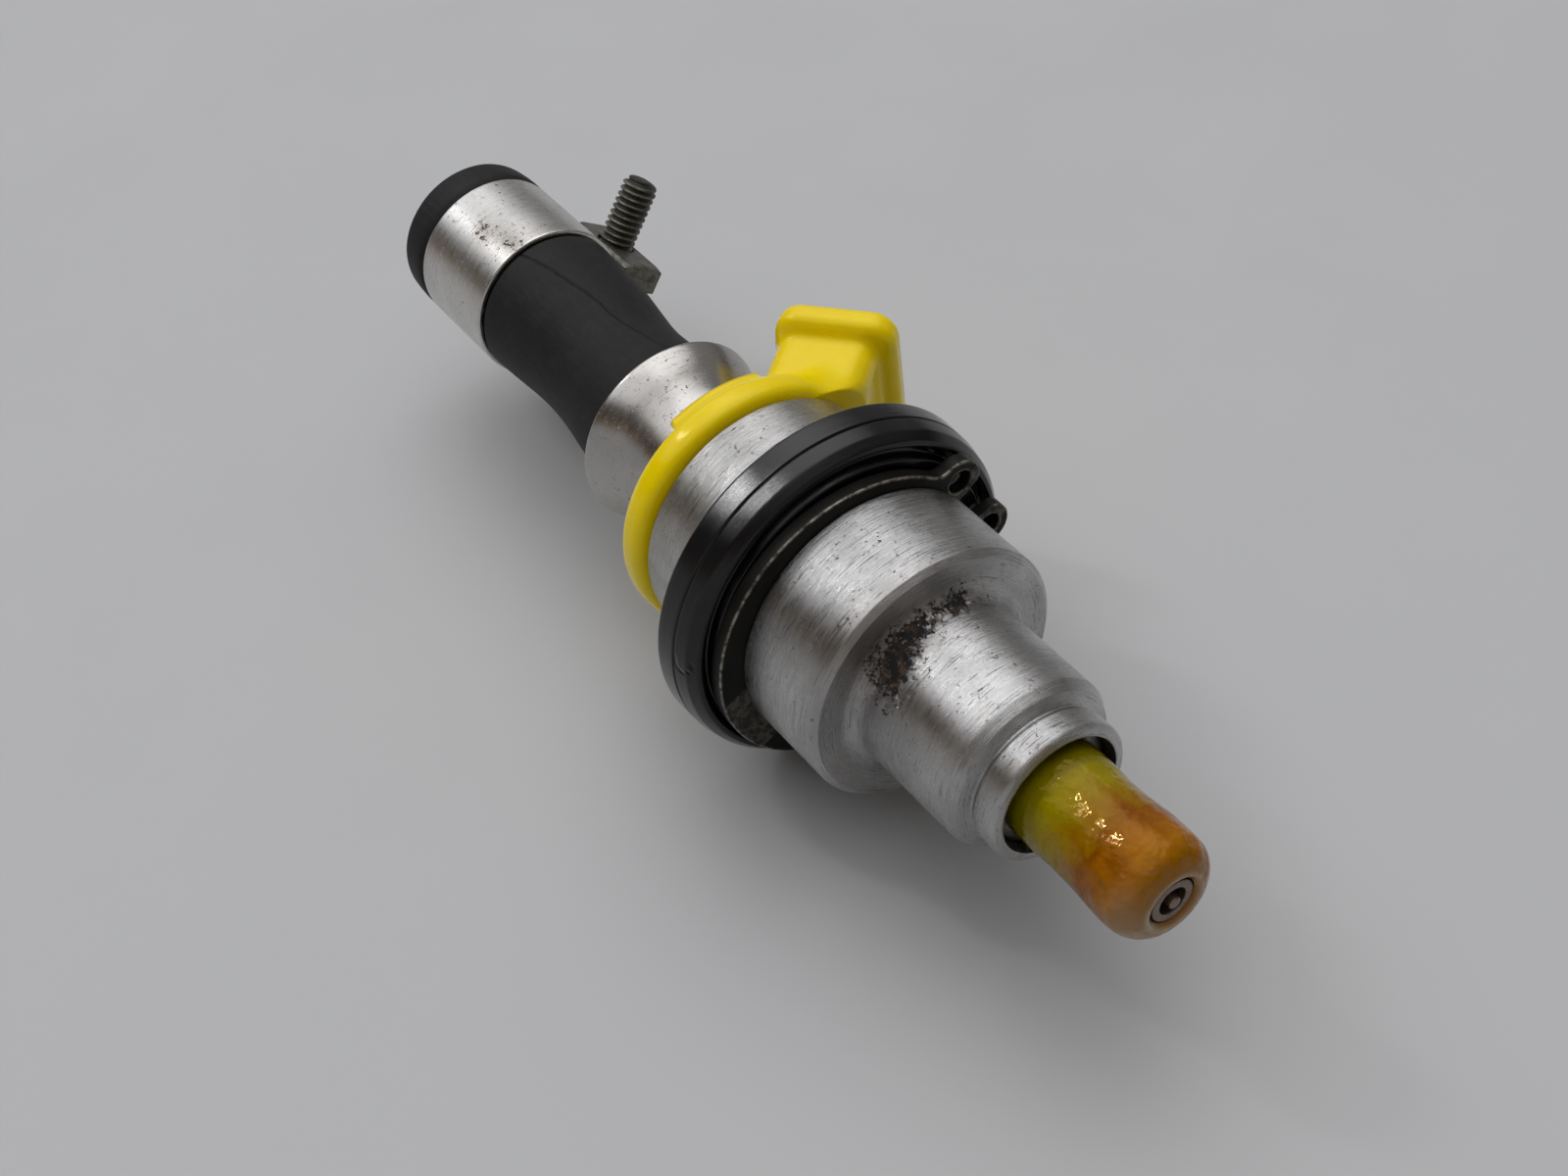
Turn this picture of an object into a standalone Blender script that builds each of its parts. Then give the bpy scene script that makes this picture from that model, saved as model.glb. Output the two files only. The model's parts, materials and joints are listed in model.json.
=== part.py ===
"""Electromagnetic fuel injector with its stub of fuel hose and hose clamp.

The spray axis is X: the pintle's flat end is at the origin and the hose leaves towards +X.
The electrical connector points along -Y and leans towards the hose. Every size below is in
millimetres and is turned into metres where a mesh is made.
"""

import math

import bmesh
import bpy
from mathutils import Matrix, Vector

MM = 0.001
BIG_STEPS = 32
SMALL_STEPS = 20
ARC_STEPS = 4
WELD = 1e-6

# Nozzle end
CAP_LENGTH = 12.7
CAP_END_R = 4.25
CAP_BASE_R = 4.3
NOZZLE_TIP_R = 1.8
NOZZLE_BARREL_R = 2.85
CHIMNEY_R = 1.15
ORIFICE_R = 0.75
PINTLE_R = 0.5
GUIDE_BORE_R = 1.75
GUIDE_R = 1.6
NEEDLE_NECK_R = 1.05
NOZZLE_FLANGE_R = 5.0
NOZZLE_FLANGE_X = 13.1
NOZZLE_REAR_X = 21.5
SEAT_X = 4.2
NEEDLE_STOP_X = 21.6
SHIM_X = 21.75
SHIM_THICK = 0.5
SHIM_R = 4.95
SHIM_BORE_R = 1.3

# Steel body
LIP_X = 11.85
LIP_R = 5.95
LIP_MOUTH_R = 4.8
NECK_GROOVE_R = 5.75
NOSE_R = 7.25
NOSE_X = 15.7
SHOULDER_X = 26.15
SHOULDER_FILLET = 1.3
BODY_R = 10.95
REAR_BODY_R = 10.57
BODY_STEP_X = 41.2
BODY_END_X = 48.6
CLIP_GROOVE_X = 34.75
CLIP_GROOVE_WIDTH = 1.3
CLIP_GROOVE_R = 10.5
NOZZLE_BORE_R = 5.2
ARMATURE_BORE_R = 3.65
COIL_BORE_R = 9.75
COIL_WALL_X = 28.0
SHIM_SHOULDER_X = 22.4

# Magnet
ARMATURE_R = 3.45
ARMATURE_FRONT_X = 23.5
ARMATURE_REAR_X = 29.8
POLE_FRONT_X = 30.1
SPRING_BORE_R = 1.65
POLE_FLANGE_X = 46.1
POLE_FLANGE_THICK = 1.8
POLE_FLANGE_R = 9.5
BOBBIN_FRONT_X = 28.3
BOBBIN_REAR_X = 45.8
BOBBIN_FLANGE = 2.3
BOBBIN_R = 9.4
BOBBIN_BORE_R = 3.7
BOBBIN_BARREL_R = 4.9
SEAL_POCKET_R = 5.5
SEAL_POCKET_DEPTH = 1.3
SPRING_TURNS = 7
SPRING_R = 1.15
SPRING_WIRE_R = 0.2
SLEEVE_X = 36.2
SLEEVE_LENGTH = 7.8

# Inlet tube, cup and hose
TUBE_R = 3.15
TUBE_BORE_R = 2.2
TUBE_END_X = 66.0
BARB_R = 3.5
BARB_COUNT = 3
BARB_PITCH = 2.6
CUP_X = 53.4
CUP_WAIST_R = 6.0
CUP_RIM_X = 61.5
CUP_RIM_R = 8.28
HOSE_X = 57.6
HOSE_BORE_R = 3.85
HOSE_END_X = 95.8
HOSE_SET = 0.8
HOSE_SET_ANGLE = math.radians(155)
HOSE_SET_FROM_X = 65.0
HOSE_SET_TO_X = 76.0
CLAMPED_R = 6.3

# Clamp on the hose's free end
CLAMP_X = 87.1
CLAMP_WIDTH = 10.0
BAND_MID_R = 6.74
BAND_THICK = 0.55
NUT_EAR_Y = 2.4
HEAD_EAR_Y = 3.2
EAR_TIP = 11.4
EAR_HALF_WIDTH = 3.8
EAR_FILLET = 0.8
SCREW_OFFSET = 8.8
SCREW_ANGLE = math.radians(53)
THREAD_R = 1.62
THREAD_END = 11.0
HEAD_R = 2.5
HEAD_SEAT = 3.7
HEAD_HEIGHT = 2.2
SLOT_DEPTH = 1.0
SLOT_WIDTH = 0.9
NUT_SEAT = 2.95
NUT_THICK = 1.7
NUT_INNER = 6.75
NUT_HALF_WIDTH = 4.2
NUT_LIP_Y = 4.8
NUT_LIP_THICK = 0.75
NUT_LIP_DROP = 0.75

# Retaining ring and insulator ring on the body
CLIP_THICK = 1.2
CLIP_BORE_R = 10.58
CLIP_OUTER_R = 12.4
CLIP_SHIFT = 0.7
CLIP_GAP_ANGLE = math.radians(21.6)
LUG_ANGLE = math.radians(15.6)
LUG_CENTRE_R = 12.1
LUG_R = 1.85
LUG_HOLE_R = 1.0
INSULATOR_X = 36.25
INSULATOR_REAR_X = 40.85
INSULATOR_R = 14.85
INSULATOR_BORE_R = 11.15

# Moulded rear cover with its connector
COVER_X = 48.9
COVER_R = 11.2
COVER_PLUG_R = 9.1
PAD_FROM = math.radians(65)
PAD_SWEEP = math.radians(46)
CONNECTOR_LEAN = math.radians(39)
CONNECTOR_X = 44.7
FLANGE_TOP = 18.0
FLANGE_THICK = 2.4
FLANGE_HALF = (4.85, 8.7)
SHROUD_FROM = 8.2
SHROUD_HALF = (4.2, 7.4)
SHROUD_SHIFT = 0.45
SOCKET_HALF = (2.6, 5.6)
SOCKET_FLOOR = 11.5
PIN_SPACING = 5.0
PIN_SIZE = (0.8, 2.0)
PIN_Y = -6.2
PIN_ROOT_X = 44.3
PIN_TOP = 16.5
PIN_CLEARANCE = 0.15
WINDOW_HALF = (1.0, 1.5)


def clear_scene():
    for obj in list(bpy.data.objects):
        bpy.data.objects.remove(obj, do_unlink=True)


def finish(name, colour, roughness, metallic):
    """A named surface finish."""
    made = bpy.data.materials.get(name) or bpy.data.materials.new(name)
    made.use_nodes = True
    shader = made.node_tree.nodes["Principled BSDF"]
    shader.inputs["Base Color"].default_value = (*colour, 1.0)
    shader.inputs["Roughness"].default_value = roughness
    shader.inputs["Metallic"].default_value = metallic
    return made


def steel():
    return finish("turned_steel", (0.50, 0.49, 0.47), 0.32, 1.0)


def polished_steel():
    return finish("polished_steel", (0.60, 0.58, 0.55), 0.18, 1.0)


def black_steel():
    return finish("black_oxide_steel", (0.03, 0.03, 0.03), 0.42, 0.8)


def dull_zinc():
    return finish("dull_zinc", (0.20, 0.20, 0.18), 0.5, 0.9)


def black_rubber():
    return finish("black_rubber", (0.015, 0.015, 0.016), 0.6, 0.0)


def black_plastic():
    return finish("glossy_black", (0.012, 0.012, 0.013), 0.25, 0.0)


def yellow_plastic():
    return finish("yellow_plastic", (0.80, 0.58, 0.01), 0.3, 0.0)


def amber_plastic():
    return finish("amber_plastic", (0.45, 0.24, 0.01), 0.2, 0.0)


def brown_plastic():
    return finish("brown_plastic", (0.10, 0.05, 0.02), 0.5, 0.0)


def copper():
    return finish("enamelled_copper", (0.45, 0.14, 0.04), 0.35, 0.9)


def brass():
    return finish("tinned_brass", (0.55, 0.50, 0.36), 0.3, 1.0)


def as_object(name, mesh_data, surface, place=None, helper=False):
    """Turns a bmesh in millimetres into an object, smooth where it is round."""
    bmesh.ops.remove_doubles(mesh_data, verts=mesh_data.verts, dist=WELD)
    bmesh.ops.recalc_face_normals(mesh_data, faces=mesh_data.faces)
    bmesh.ops.scale(mesh_data, vec=(MM, MM, MM), verts=mesh_data.verts)
    mesh = bpy.data.meshes.new(name)
    mesh_data.to_mesh(mesh)
    mesh_data.free()
    mesh.materials.append(surface)
    mesh.shade_smooth()
    mesh.set_sharp_from_angle(angle=math.radians(30))
    obj = bpy.data.objects.new(name, mesh)
    bpy.context.scene.collection.objects.link(obj)
    if place is not None:
        obj.parent = place
    if helper:
        obj.hide_render = True
        obj.display_type = "WIRE"
    return obj


def empty(name, origin, columns):
    """An empty whose axes are the three unit columns, with its origin in millimetres."""
    marker = bpy.data.objects.new(name, None)
    marker.empty_display_size = 5 * MM
    turn = Matrix(columns).transposed().to_4x4()
    marker.matrix_world = Matrix.Translation(Vector(origin) * MM) @ turn
    bpy.context.scene.collection.objects.link(marker)
    return marker


def spin_outline(outline, steps, start=0.0, sweep=2 * math.pi):
    """Spins (x, r) points about X. An outline that starts on the axis ends on it too."""
    mesh_data = bmesh.new()
    side = Vector((0, math.cos(start), math.sin(start)))
    verts = [mesh_data.verts.new(Vector((x, 0, 0)) + side * r) for x, r in outline]
    edges = [mesh_data.edges.new(pair) for pair in zip(verts, verts[1:])]
    if outline[0][1] > 0:
        edges.append(mesh_data.edges.new((verts[-1], verts[0])))
    whole = sweep >= 2 * math.pi
    if not whole:
        mesh_data.faces.new(verts)
    made = bmesh.ops.spin(
        mesh_data,
        geom=verts + edges,
        cent=(0, 0, 0),
        axis=(1, 0, 0),
        angle=sweep,
        steps=steps,
        use_merge=whole,
    )
    if not whole:
        last = [item for item in made["geom_last"] if isinstance(item, bmesh.types.BMVert)]
        order = sorted(last, key=lambda vert: outline_rank(vert, outline))
        mesh_data.faces.new(order)
    return mesh_data


def outline_rank(vert, outline):
    """The outline point that a spun vertex came from."""
    radius = math.hypot(vert.co.y, vert.co.z)
    distances = [math.hypot(vert.co.x - x, radius - r) for x, r in outline]
    return distances.index(min(distances))


def revolve(name, outline, surface, steps=BIG_STEPS, place=None, helper=False):
    return as_object(name, spin_outline(outline, steps), surface, place, helper)


def prism(name, outline, low, high, surface, place=None, helper=False):
    """A flat outline of (x, y) points, extruded along the local Z."""
    mesh_data = bmesh.new()
    base = mesh_data.faces.new([mesh_data.verts.new((x, y, low)) for x, y in outline])
    grown = bmesh.ops.extrude_face_region(mesh_data, geom=[base])
    moved = [item for item in grown["geom"] if isinstance(item, bmesh.types.BMVert)]
    bmesh.ops.translate(mesh_data, vec=(0, 0, high - low), verts=moved)
    return as_object(name, mesh_data, surface, place, helper)


def rod(name, radius, low, high, surface, steps=SMALL_STEPS, place=None, helper=False):
    """A plain round bar along the local Z."""
    points = [(radius * math.cos(a), radius * math.sin(a)) for a in full_turn(steps)]
    return prism(name, points, low, high, surface, place, helper)


def full_turn(steps):
    return [2 * math.pi * step / steps for step in range(steps)]


def arc(centre, radius, start, end, steps=ARC_STEPS):
    """Points on a circle from angle start to angle end, both included."""
    angles = [start + (end - start) * step / steps for step in range(steps + 1)]
    return [(centre[0] + radius * math.cos(a), centre[1] + radius * math.sin(a)) for a in angles]


def rectangle(half_x, half_y, radius):
    """A rectangle about the origin with rounded corners."""
    points = []
    for corner, (sx, sy) in enumerate(((1, 1), (-1, 1), (-1, -1), (1, -1))):
        centre = (sx * (half_x - radius), sy * (half_y - radius))
        start = corner * math.pi / 2
        points += arc(centre, radius, start, start + math.pi / 2, 3)
    return points


def boolean(target, other, operation):
    modifier = target.modifiers.new(other.name, "BOOLEAN")
    modifier.object = other
    modifier.operation = operation
    modifier.solver = "EXACT"


def cut(target, cutter):
    boolean(target, cutter, "DIFFERENCE")


def fuse(target, other):
    boolean(target, other, "UNION")


# Nozzle end


def make_pintle_cap():
    """Moulded cap pressed over the nozzle, waisted in the middle."""
    web = 1.6
    outline = [
        (0.0, 1.95),
        (0.0, 2.6),
        (0.35, 3.4),
        (1.0, 3.95),
        (1.9, CAP_END_R),
        (4.0, CAP_END_R),
        (7.6, 4.05),
        (10.2, 4.2),
        (CAP_LENGTH, CAP_BASE_R),
        (CAP_LENGTH, NOZZLE_BARREL_R + 0.2),
        (web, NOZZLE_BARREL_R + 0.2),
        (web, 1.95),
    ]
    revolve("pintle_cap", outline, amber_plastic())


def make_valve_body():
    """Nozzle: a thin barrel with the seat cone and the pintle's orifice in front."""
    outline = [
        (0.25, CHIMNEY_R),
        (0.25, NOZZLE_TIP_R),
        (1.8, NOZZLE_TIP_R),
        (1.8, NOZZLE_BARREL_R),
        (NOZZLE_FLANGE_X, NOZZLE_BARREL_R),
        (NOZZLE_FLANGE_X, NOZZLE_FLANGE_R),
        (17.0, NOZZLE_FLANGE_R),
        (17.0, 4.1),
        (19.0, 4.1),
        (19.0, NOZZLE_FLANGE_R),
        (NOZZLE_REAR_X, NOZZLE_FLANGE_R),
        (NOZZLE_REAR_X, GUIDE_BORE_R),
        (SEAT_X + 1.0, GUIDE_BORE_R),
        (SEAT_X, ORIFICE_R),
        (2.9, ORIFICE_R),
        (2.9, CHIMNEY_R),
    ]
    revolve("valve_body", outline, steel())


def make_needle():
    """Needle with two guide lands, its cone just off the seat and the pintle through the orifice."""
    cone = SEAT_X - 0.1
    outline = [
        (0.0, 0.0),
        (0.0, PINTLE_R),
        (cone, PINTLE_R - 0.05),
        (cone + 1.15, GUIDE_R),
        (8.3, GUIDE_R),
        (8.8, NEEDLE_NECK_R),
        (17.0, NEEDLE_NECK_R),
        (17.5, GUIDE_R),
        (NEEDLE_STOP_X, GUIDE_R),
        (NEEDLE_STOP_X, NEEDLE_NECK_R),
        (23.2, NEEDLE_NECK_R),
        (23.5, 1.25),
        (27.0, 1.25),
        (27.0, 0.0),
    ]
    revolve("needle", outline, polished_steel(), SMALL_STEPS)


def make_stop_shim():
    """C-shaped stop plate that limits the needle's lift."""
    front, rear = SHIM_X, SHIM_X + SHIM_THICK
    outline = [(front, SHIM_BORE_R), (front, SHIM_R), (rear, SHIM_R), (rear, SHIM_BORE_R)]
    shim = revolve("stop_shim", outline, steel(), SMALL_STEPS)
    opening = [(front - 1, 0.0), (rear + 1, 0.0), (rear + 1, SHIM_R + 1), (front - 1, SHIM_R + 1)]
    half = SHIM_BORE_R - 0.1
    slot = prism("shim_slot", opening, -half, half, steel(), helper=True)
    cut(shim, slot)


def make_ring_seal(name, x, centre_r, wire_r):
    """O-ring about the X axis."""
    section = [
        (x + wire_r * math.cos(a), centre_r + wire_r * math.sin(a)) for a in full_turn(6)
    ]
    revolve(name, section, black_rubber(), SMALL_STEPS)


# Steel body


def make_housing():
    """Turned body: crimped lip, nose, shoulder, magnet shell with its clip groove."""
    fillet_centre = (SHOULDER_X - SHOULDER_FILLET, NOSE_R + SHOULDER_FILLET)
    fillet = arc(fillet_centre, SHOULDER_FILLET, -math.pi / 2, 0)
    groove_end = CLIP_GROOVE_X + CLIP_GROOVE_WIDTH
    outline = [
        (LIP_X, LIP_MOUTH_R),
        (LIP_X, 5.35),
        (12.15, 5.75),
        (12.7, LIP_R),
        (13.9, LIP_R),
        (14.4, NECK_GROOVE_R),
        (14.55, 6.3),
        (15.0, 6.9),
        (NOSE_X, NOSE_R),
        *fillet,
        (SHOULDER_X, 10.35),
        (26.6, BODY_R),
        (CLIP_GROOVE_X, BODY_R),
        (CLIP_GROOVE_X, CLIP_GROOVE_R),
        (groove_end, CLIP_GROOVE_R),
        (groove_end, BODY_R),
        (BODY_STEP_X, BODY_R),
        (BODY_STEP_X + 0.3, REAR_BODY_R),
        (BODY_END_X, REAR_BODY_R),
        (BODY_END_X, 9.35),
        (48.25, 9.35),
        (48.25, COIL_BORE_R),
        (COIL_WALL_X, COIL_BORE_R),
        (COIL_WALL_X, ARMATURE_BORE_R),
        (SHIM_SHOULDER_X, ARMATURE_BORE_R),
        (SHIM_SHOULDER_X, NOZZLE_BORE_R),
        (12.8, NOZZLE_BORE_R),
        (12.8, LIP_MOUTH_R),
    ]
    revolve("housing", outline, steel())


# Magnet and fuel path


def make_armature():
    outline = [
        (ARMATURE_FRONT_X, 1.35),
        (ARMATURE_FRONT_X, ARMATURE_R),
        (ARMATURE_REAR_X, ARMATURE_R),
        (ARMATURE_REAR_X, 1.7),
        (27.2, 1.7),
        (27.2, 1.35),
    ]
    revolve("armature", outline, steel(), SMALL_STEPS)


def make_return_spring():
    """Compression spring between the armature and the adjusting sleeve."""
    start, end = 27.6, SLEEVE_X - 0.4
    steps = SPRING_TURNS * 10
    curve = bpy.data.curves.new("return_spring", "CURVE")
    curve.dimensions = "3D"
    curve.bevel_depth = SPRING_WIRE_R * MM
    curve.bevel_resolution = 0
    curve.use_fill_caps = True
    line = curve.splines.new("POLY")
    line.points.add(steps)
    for step, point in enumerate(line.points):
        angle = 2 * math.pi * SPRING_TURNS * step / steps
        x = start + (end - start) * step / steps
        place = Vector((x, SPRING_R * math.cos(angle), SPRING_R * math.sin(angle))) * MM
        point.co = (*place, 1.0)
    curve.materials.append(polished_steel())
    spring = bpy.data.objects.new("return_spring", curve)
    bpy.context.scene.collection.objects.link(spring)


def make_adjusting_sleeve():
    end = SLEEVE_X + SLEEVE_LENGTH
    outline = [(SLEEVE_X, 0.9), (SLEEVE_X, 1.5), (end, 1.5), (end, 0.9)]
    revolve("adjusting_sleeve", outline, steel(), SMALL_STEPS)


def pin_path():
    """Centre line of a terminal in the XY plane: out of the coil, then along the connector."""
    bend = -PIN_Y / math.cos(CONNECTOR_LEAN)
    top = PIN_TOP
    lean = (math.sin(CONNECTOR_LEAN), -math.cos(CONNECTOR_LEAN))
    return [
        (PIN_ROOT_X, PIN_Y),
        (CONNECTOR_X + bend * lean[0], PIN_Y),
        (CONNECTOR_X + top * lean[0], top * lean[1]),
    ]


def thicken(path, thickness):
    """Closed outline of a strip of constant thickness along a path of (x, y) points."""
    half = thickness / 2
    left, right = [], []
    for index, (x, y) in enumerate(path):
        before = path[max(index - 1, 0)]
        after = path[min(index + 1, len(path) - 1)]
        into = Vector((x - before[0], y - before[1]))
        out = Vector((after[0] - x, after[1] - y))
        into = into.normalized() if into.length > 0 else out.normalized()
        out = out.normalized() if out.length > 0 else into
        mitre = (into + out).normalized()
        normal = Vector((-mitre.y, mitre.x)) * half / max(mitre.dot(out), 0.5)
        left.append((x + normal.x, y + normal.y))
        right.append((x - normal.x, y - normal.y))
    return left + right[::-1]


def pin_centres():
    return (-PIN_SPACING / 2, PIN_SPACING / 2)


def make_terminals():
    outline = thicken(pin_path(), PIN_SIZE[0])
    for name, z in zip(("terminal_a", "terminal_b"), pin_centres()):
        prism(name, outline, z - PIN_SIZE[1] / 2, z + PIN_SIZE[1] / 2, brass())


def pin_channels(label):
    """Cutters a little larger than the terminals."""
    path = pin_path()
    path[0] = (path[0][0] - 1.0, path[0][1])
    outline = thicken(path, PIN_SIZE[0] + 2 * PIN_CLEARANCE)
    half = PIN_SIZE[1] / 2 + PIN_CLEARANCE
    cutters = []
    for index, z in enumerate(pin_centres()):
        name = f"{label}_pin_channel_{index}"
        cutters.append(prism(name, outline, z - half, z + half, brass(), helper=True))
    return cutters


def make_pole_core():
    """Fixed core, closing flange and inlet tube turned in one piece, with barbs for the hose."""
    flange_end = POLE_FLANGE_X + POLE_FLANGE_THICK
    barbs = []
    for index in range(BARB_COUNT):
        x = TUBE_END_X - 1.0 - (BARB_COUNT - index) * BARB_PITCH
        barbs += [(x, TUBE_R), (x + 0.4, BARB_R), (x + 0.4 + BARB_PITCH * 0.6, TUBE_R)]
    outline = [
        (POLE_FRONT_X, SPRING_BORE_R),
        (POLE_FRONT_X, ARMATURE_R),
        (POLE_FLANGE_X, ARMATURE_R),
        (POLE_FLANGE_X, POLE_FLANGE_R),
        (flange_end, POLE_FLANGE_R),
        (flange_end, TUBE_R),
        *barbs,
        (TUBE_END_X, 3.0),
        (TUBE_END_X, TUBE_BORE_R),
        (47.0, TUBE_BORE_R),
        (46.0, SPRING_BORE_R),
    ]
    core = revolve("pole_core", outline, steel())
    low, high = PIN_Y - WINDOW_HALF[0], PIN_Y + WINDOW_HALF[0]
    front, rear = POLE_FLANGE_X - 1, flange_end + 1
    window = [(front, low), (rear, low), (rear, high), (front, high)]
    for index, z in enumerate(pin_centres()):
        span = (z - WINDOW_HALF[1], z + WINDOW_HALF[1])
        cutter = prism(f"pole_window_{index}", window, *span, steel(), helper=True)
        cut(core, cutter)


def make_bobbin():
    """Coil former with a seal pocket at each end."""
    outline = [
        (BOBBIN_FRONT_X + SEAL_POCKET_DEPTH, BOBBIN_BORE_R),
        (BOBBIN_FRONT_X + SEAL_POCKET_DEPTH, SEAL_POCKET_R),
        (BOBBIN_FRONT_X, SEAL_POCKET_R),
        (BOBBIN_FRONT_X, BOBBIN_R),
        (BOBBIN_FRONT_X + BOBBIN_FLANGE, BOBBIN_R),
        (BOBBIN_FRONT_X + BOBBIN_FLANGE, BOBBIN_BARREL_R),
        (BOBBIN_REAR_X - BOBBIN_FLANGE, BOBBIN_BARREL_R),
        (BOBBIN_REAR_X - BOBBIN_FLANGE, BOBBIN_R),
        (BOBBIN_REAR_X, BOBBIN_R),
        (BOBBIN_REAR_X, SEAL_POCKET_R),
        (BOBBIN_REAR_X - SEAL_POCKET_DEPTH, SEAL_POCKET_R),
        (BOBBIN_REAR_X - SEAL_POCKET_DEPTH, BOBBIN_BORE_R),
    ]
    bobbin = revolve("coil_bobbin", outline, brown_plastic())
    root = PIN_ROOT_X - PIN_CLEARANCE
    half_y = PIN_SIZE[0] / 2 + PIN_CLEARANCE
    half_z = PIN_SIZE[1] / 2 + PIN_CLEARANCE
    for index, z in enumerate(pin_centres()):
        pocket = [
            (root, PIN_Y - half_y),
            (BOBBIN_REAR_X + 1, PIN_Y - half_y),
            (BOBBIN_REAR_X + 1, PIN_Y + half_y),
            (root, PIN_Y + half_y),
        ]
        cutter = prism(f"pin_pocket_{index}", pocket, z - half_z, z + half_z, brass(), helper=True)
        cut(bobbin, cutter)


def make_winding():
    front = BOBBIN_FRONT_X + BOBBIN_FLANGE + 0.2
    rear = BOBBIN_REAR_X - BOBBIN_FLANGE - 0.2
    inner = BOBBIN_BARREL_R + 0.15
    outline = [(front, inner), (front, 8.9), (rear, 8.9), (rear, inner)]
    revolve("coil_winding", outline, copper())


def make_inlet_filter():
    """Strainer cup in the inlet tube, open towards the hose."""
    outline = [
        (55.0, 0.0),
        (55.0, 1.5),
        (63.5, 1.5),
        (63.5, 1.95),
        (65.0, 1.95),
        (65.0, 1.1),
        (55.6, 1.1),
        (55.6, 0.0),
    ]
    revolve("inlet_filter", outline, brown_plastic(), SMALL_STEPS)


def make_hose_cup():
    """Bell-shaped ferrule that the hose is pushed into."""
    wall = 0.5
    bell = [
        (CUP_X + 0.3, 5.8),
        (CUP_X + 0.8, CUP_WAIST_R),
        (55.6, CUP_WAIST_R),
        (57.0, 6.35),
        (58.4, 6.95),
        (59.6, 7.6),
        (60.7, 8.08),
        (CUP_RIM_X, CUP_RIM_R),
    ]
    inside = [(x - 0.15, r - wall) for x, r in reversed(bell[3:-1])]
    outline = [
        (CUP_X, TUBE_R + 0.15),
        (CUP_X, 5.4),
        *bell,
        (CUP_RIM_X + 0.15, CUP_RIM_R - 0.2),
        (CUP_RIM_X, CUP_RIM_R - wall),
        *inside,
        (56.6, 5.4),
        (56.6, TUBE_R + 0.15),
    ]
    revolve("hose_cup", outline, polished_steel())


def hose_centre(x):
    """Sideways set of the hose's centre line at a station along X, as (y, z)."""
    part = min(max((x - HOSE_SET_FROM_X) / (HOSE_SET_TO_X - HOSE_SET_FROM_X), 0.0), 1.0)
    shift = HOSE_SET * part * part * (3 - 2 * part)
    return shift * math.cos(HOSE_SET_ANGLE), shift * math.sin(HOSE_SET_ANGLE)


def make_hose():
    """Rubber hose: squeezed under the clamp and swollen on both sides of it."""
    front = CLAMP_X - CLAMP_WIDTH / 2
    rear = CLAMP_X + CLAMP_WIDTH / 2
    outline = [
        (HOSE_X, HOSE_BORE_R),
        (HOSE_X, 5.6),
        (58.8, 6.2),
        (60.2, 6.6),
        (62.5, 6.65),
        (66.0, 6.35),
        (69.0, 6.1),
        (72.0, 6.15),
        (76.0, 6.4),
        (79.5, 6.6),
        (front - 0.5, 6.65),
        (front, CLAMPED_R),
        (rear, CLAMPED_R),
        (rear + 0.4, 6.85),
        (rear + 1.6, 7.0),
        (HOSE_END_X - 0.5, 6.8),
        (HOSE_END_X, 6.4),
        (HOSE_END_X, HOSE_BORE_R),
        (76.0, HOSE_BORE_R),
        (72.0, HOSE_BORE_R),
        (69.0, HOSE_BORE_R),
        (66.0, HOSE_BORE_R),
        (62.5, HOSE_BORE_R),
    ]
    mesh_data = spin_outline(outline, BIG_STEPS)
    for vert in mesh_data.verts:
        shift = hose_centre(vert.co.x)
        vert.co.y += shift[0]
        vert.co.z += shift[1]
    as_object("fuel_hose", mesh_data, black_rubber())


# Clamp


def clamp_axes():
    """Unit vectors of the clamp: out through its ears, along its screw, towards the nozzle."""
    along = Vector((0, -math.cos(SCREW_ANGLE), math.sin(SCREW_ANGLE)))
    out = Vector((0, -math.sin(SCREW_ANGLE), -math.cos(SCREW_ANGLE)))
    return out, along, Vector((-1, 0, 0))


def make_clamp():
    out, along, axis = clamp_axes()
    centre = Vector((CLAMP_X, *hose_centre(CLAMP_X)))
    band_frame = empty("clamp_frame", centre, (out, along, axis))
    screw_frame = empty("screw_frame", centre + out * SCREW_OFFSET, (along, axis, along.cross(axis)))
    make_band(band_frame)
    make_screw(screw_frame)
    make_nut(screw_frame)


def band_path():
    """Centre line of the strip, from one ear's tip round the hose to the other's."""
    nut_ear, nut_meet = ear_path(NUT_EAR_Y)
    head_ear, head_meet = ear_path(HEAD_EAR_Y)
    hoop = arc((0, 0), BAND_MID_R, nut_meet, 2 * math.pi - head_meet, 30)[1:-1]
    return nut_ear + hoop + [(x, -y) for x, y in reversed(head_ear)]


def ear_path(height):
    """A straight ear at this height and its fillet, with the angle where it meets the hoop."""
    reach = BAND_MID_R + EAR_FILLET
    fillet_y = height + EAR_FILLET
    fillet_x = math.sqrt(reach**2 - fillet_y**2)
    meet = math.atan2(fillet_y, fillet_x)
    fillet = arc((fillet_x, fillet_y), EAR_FILLET, -math.pi / 2, meet - math.pi, 3)
    return [(EAR_TIP, height), *fillet], meet


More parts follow.
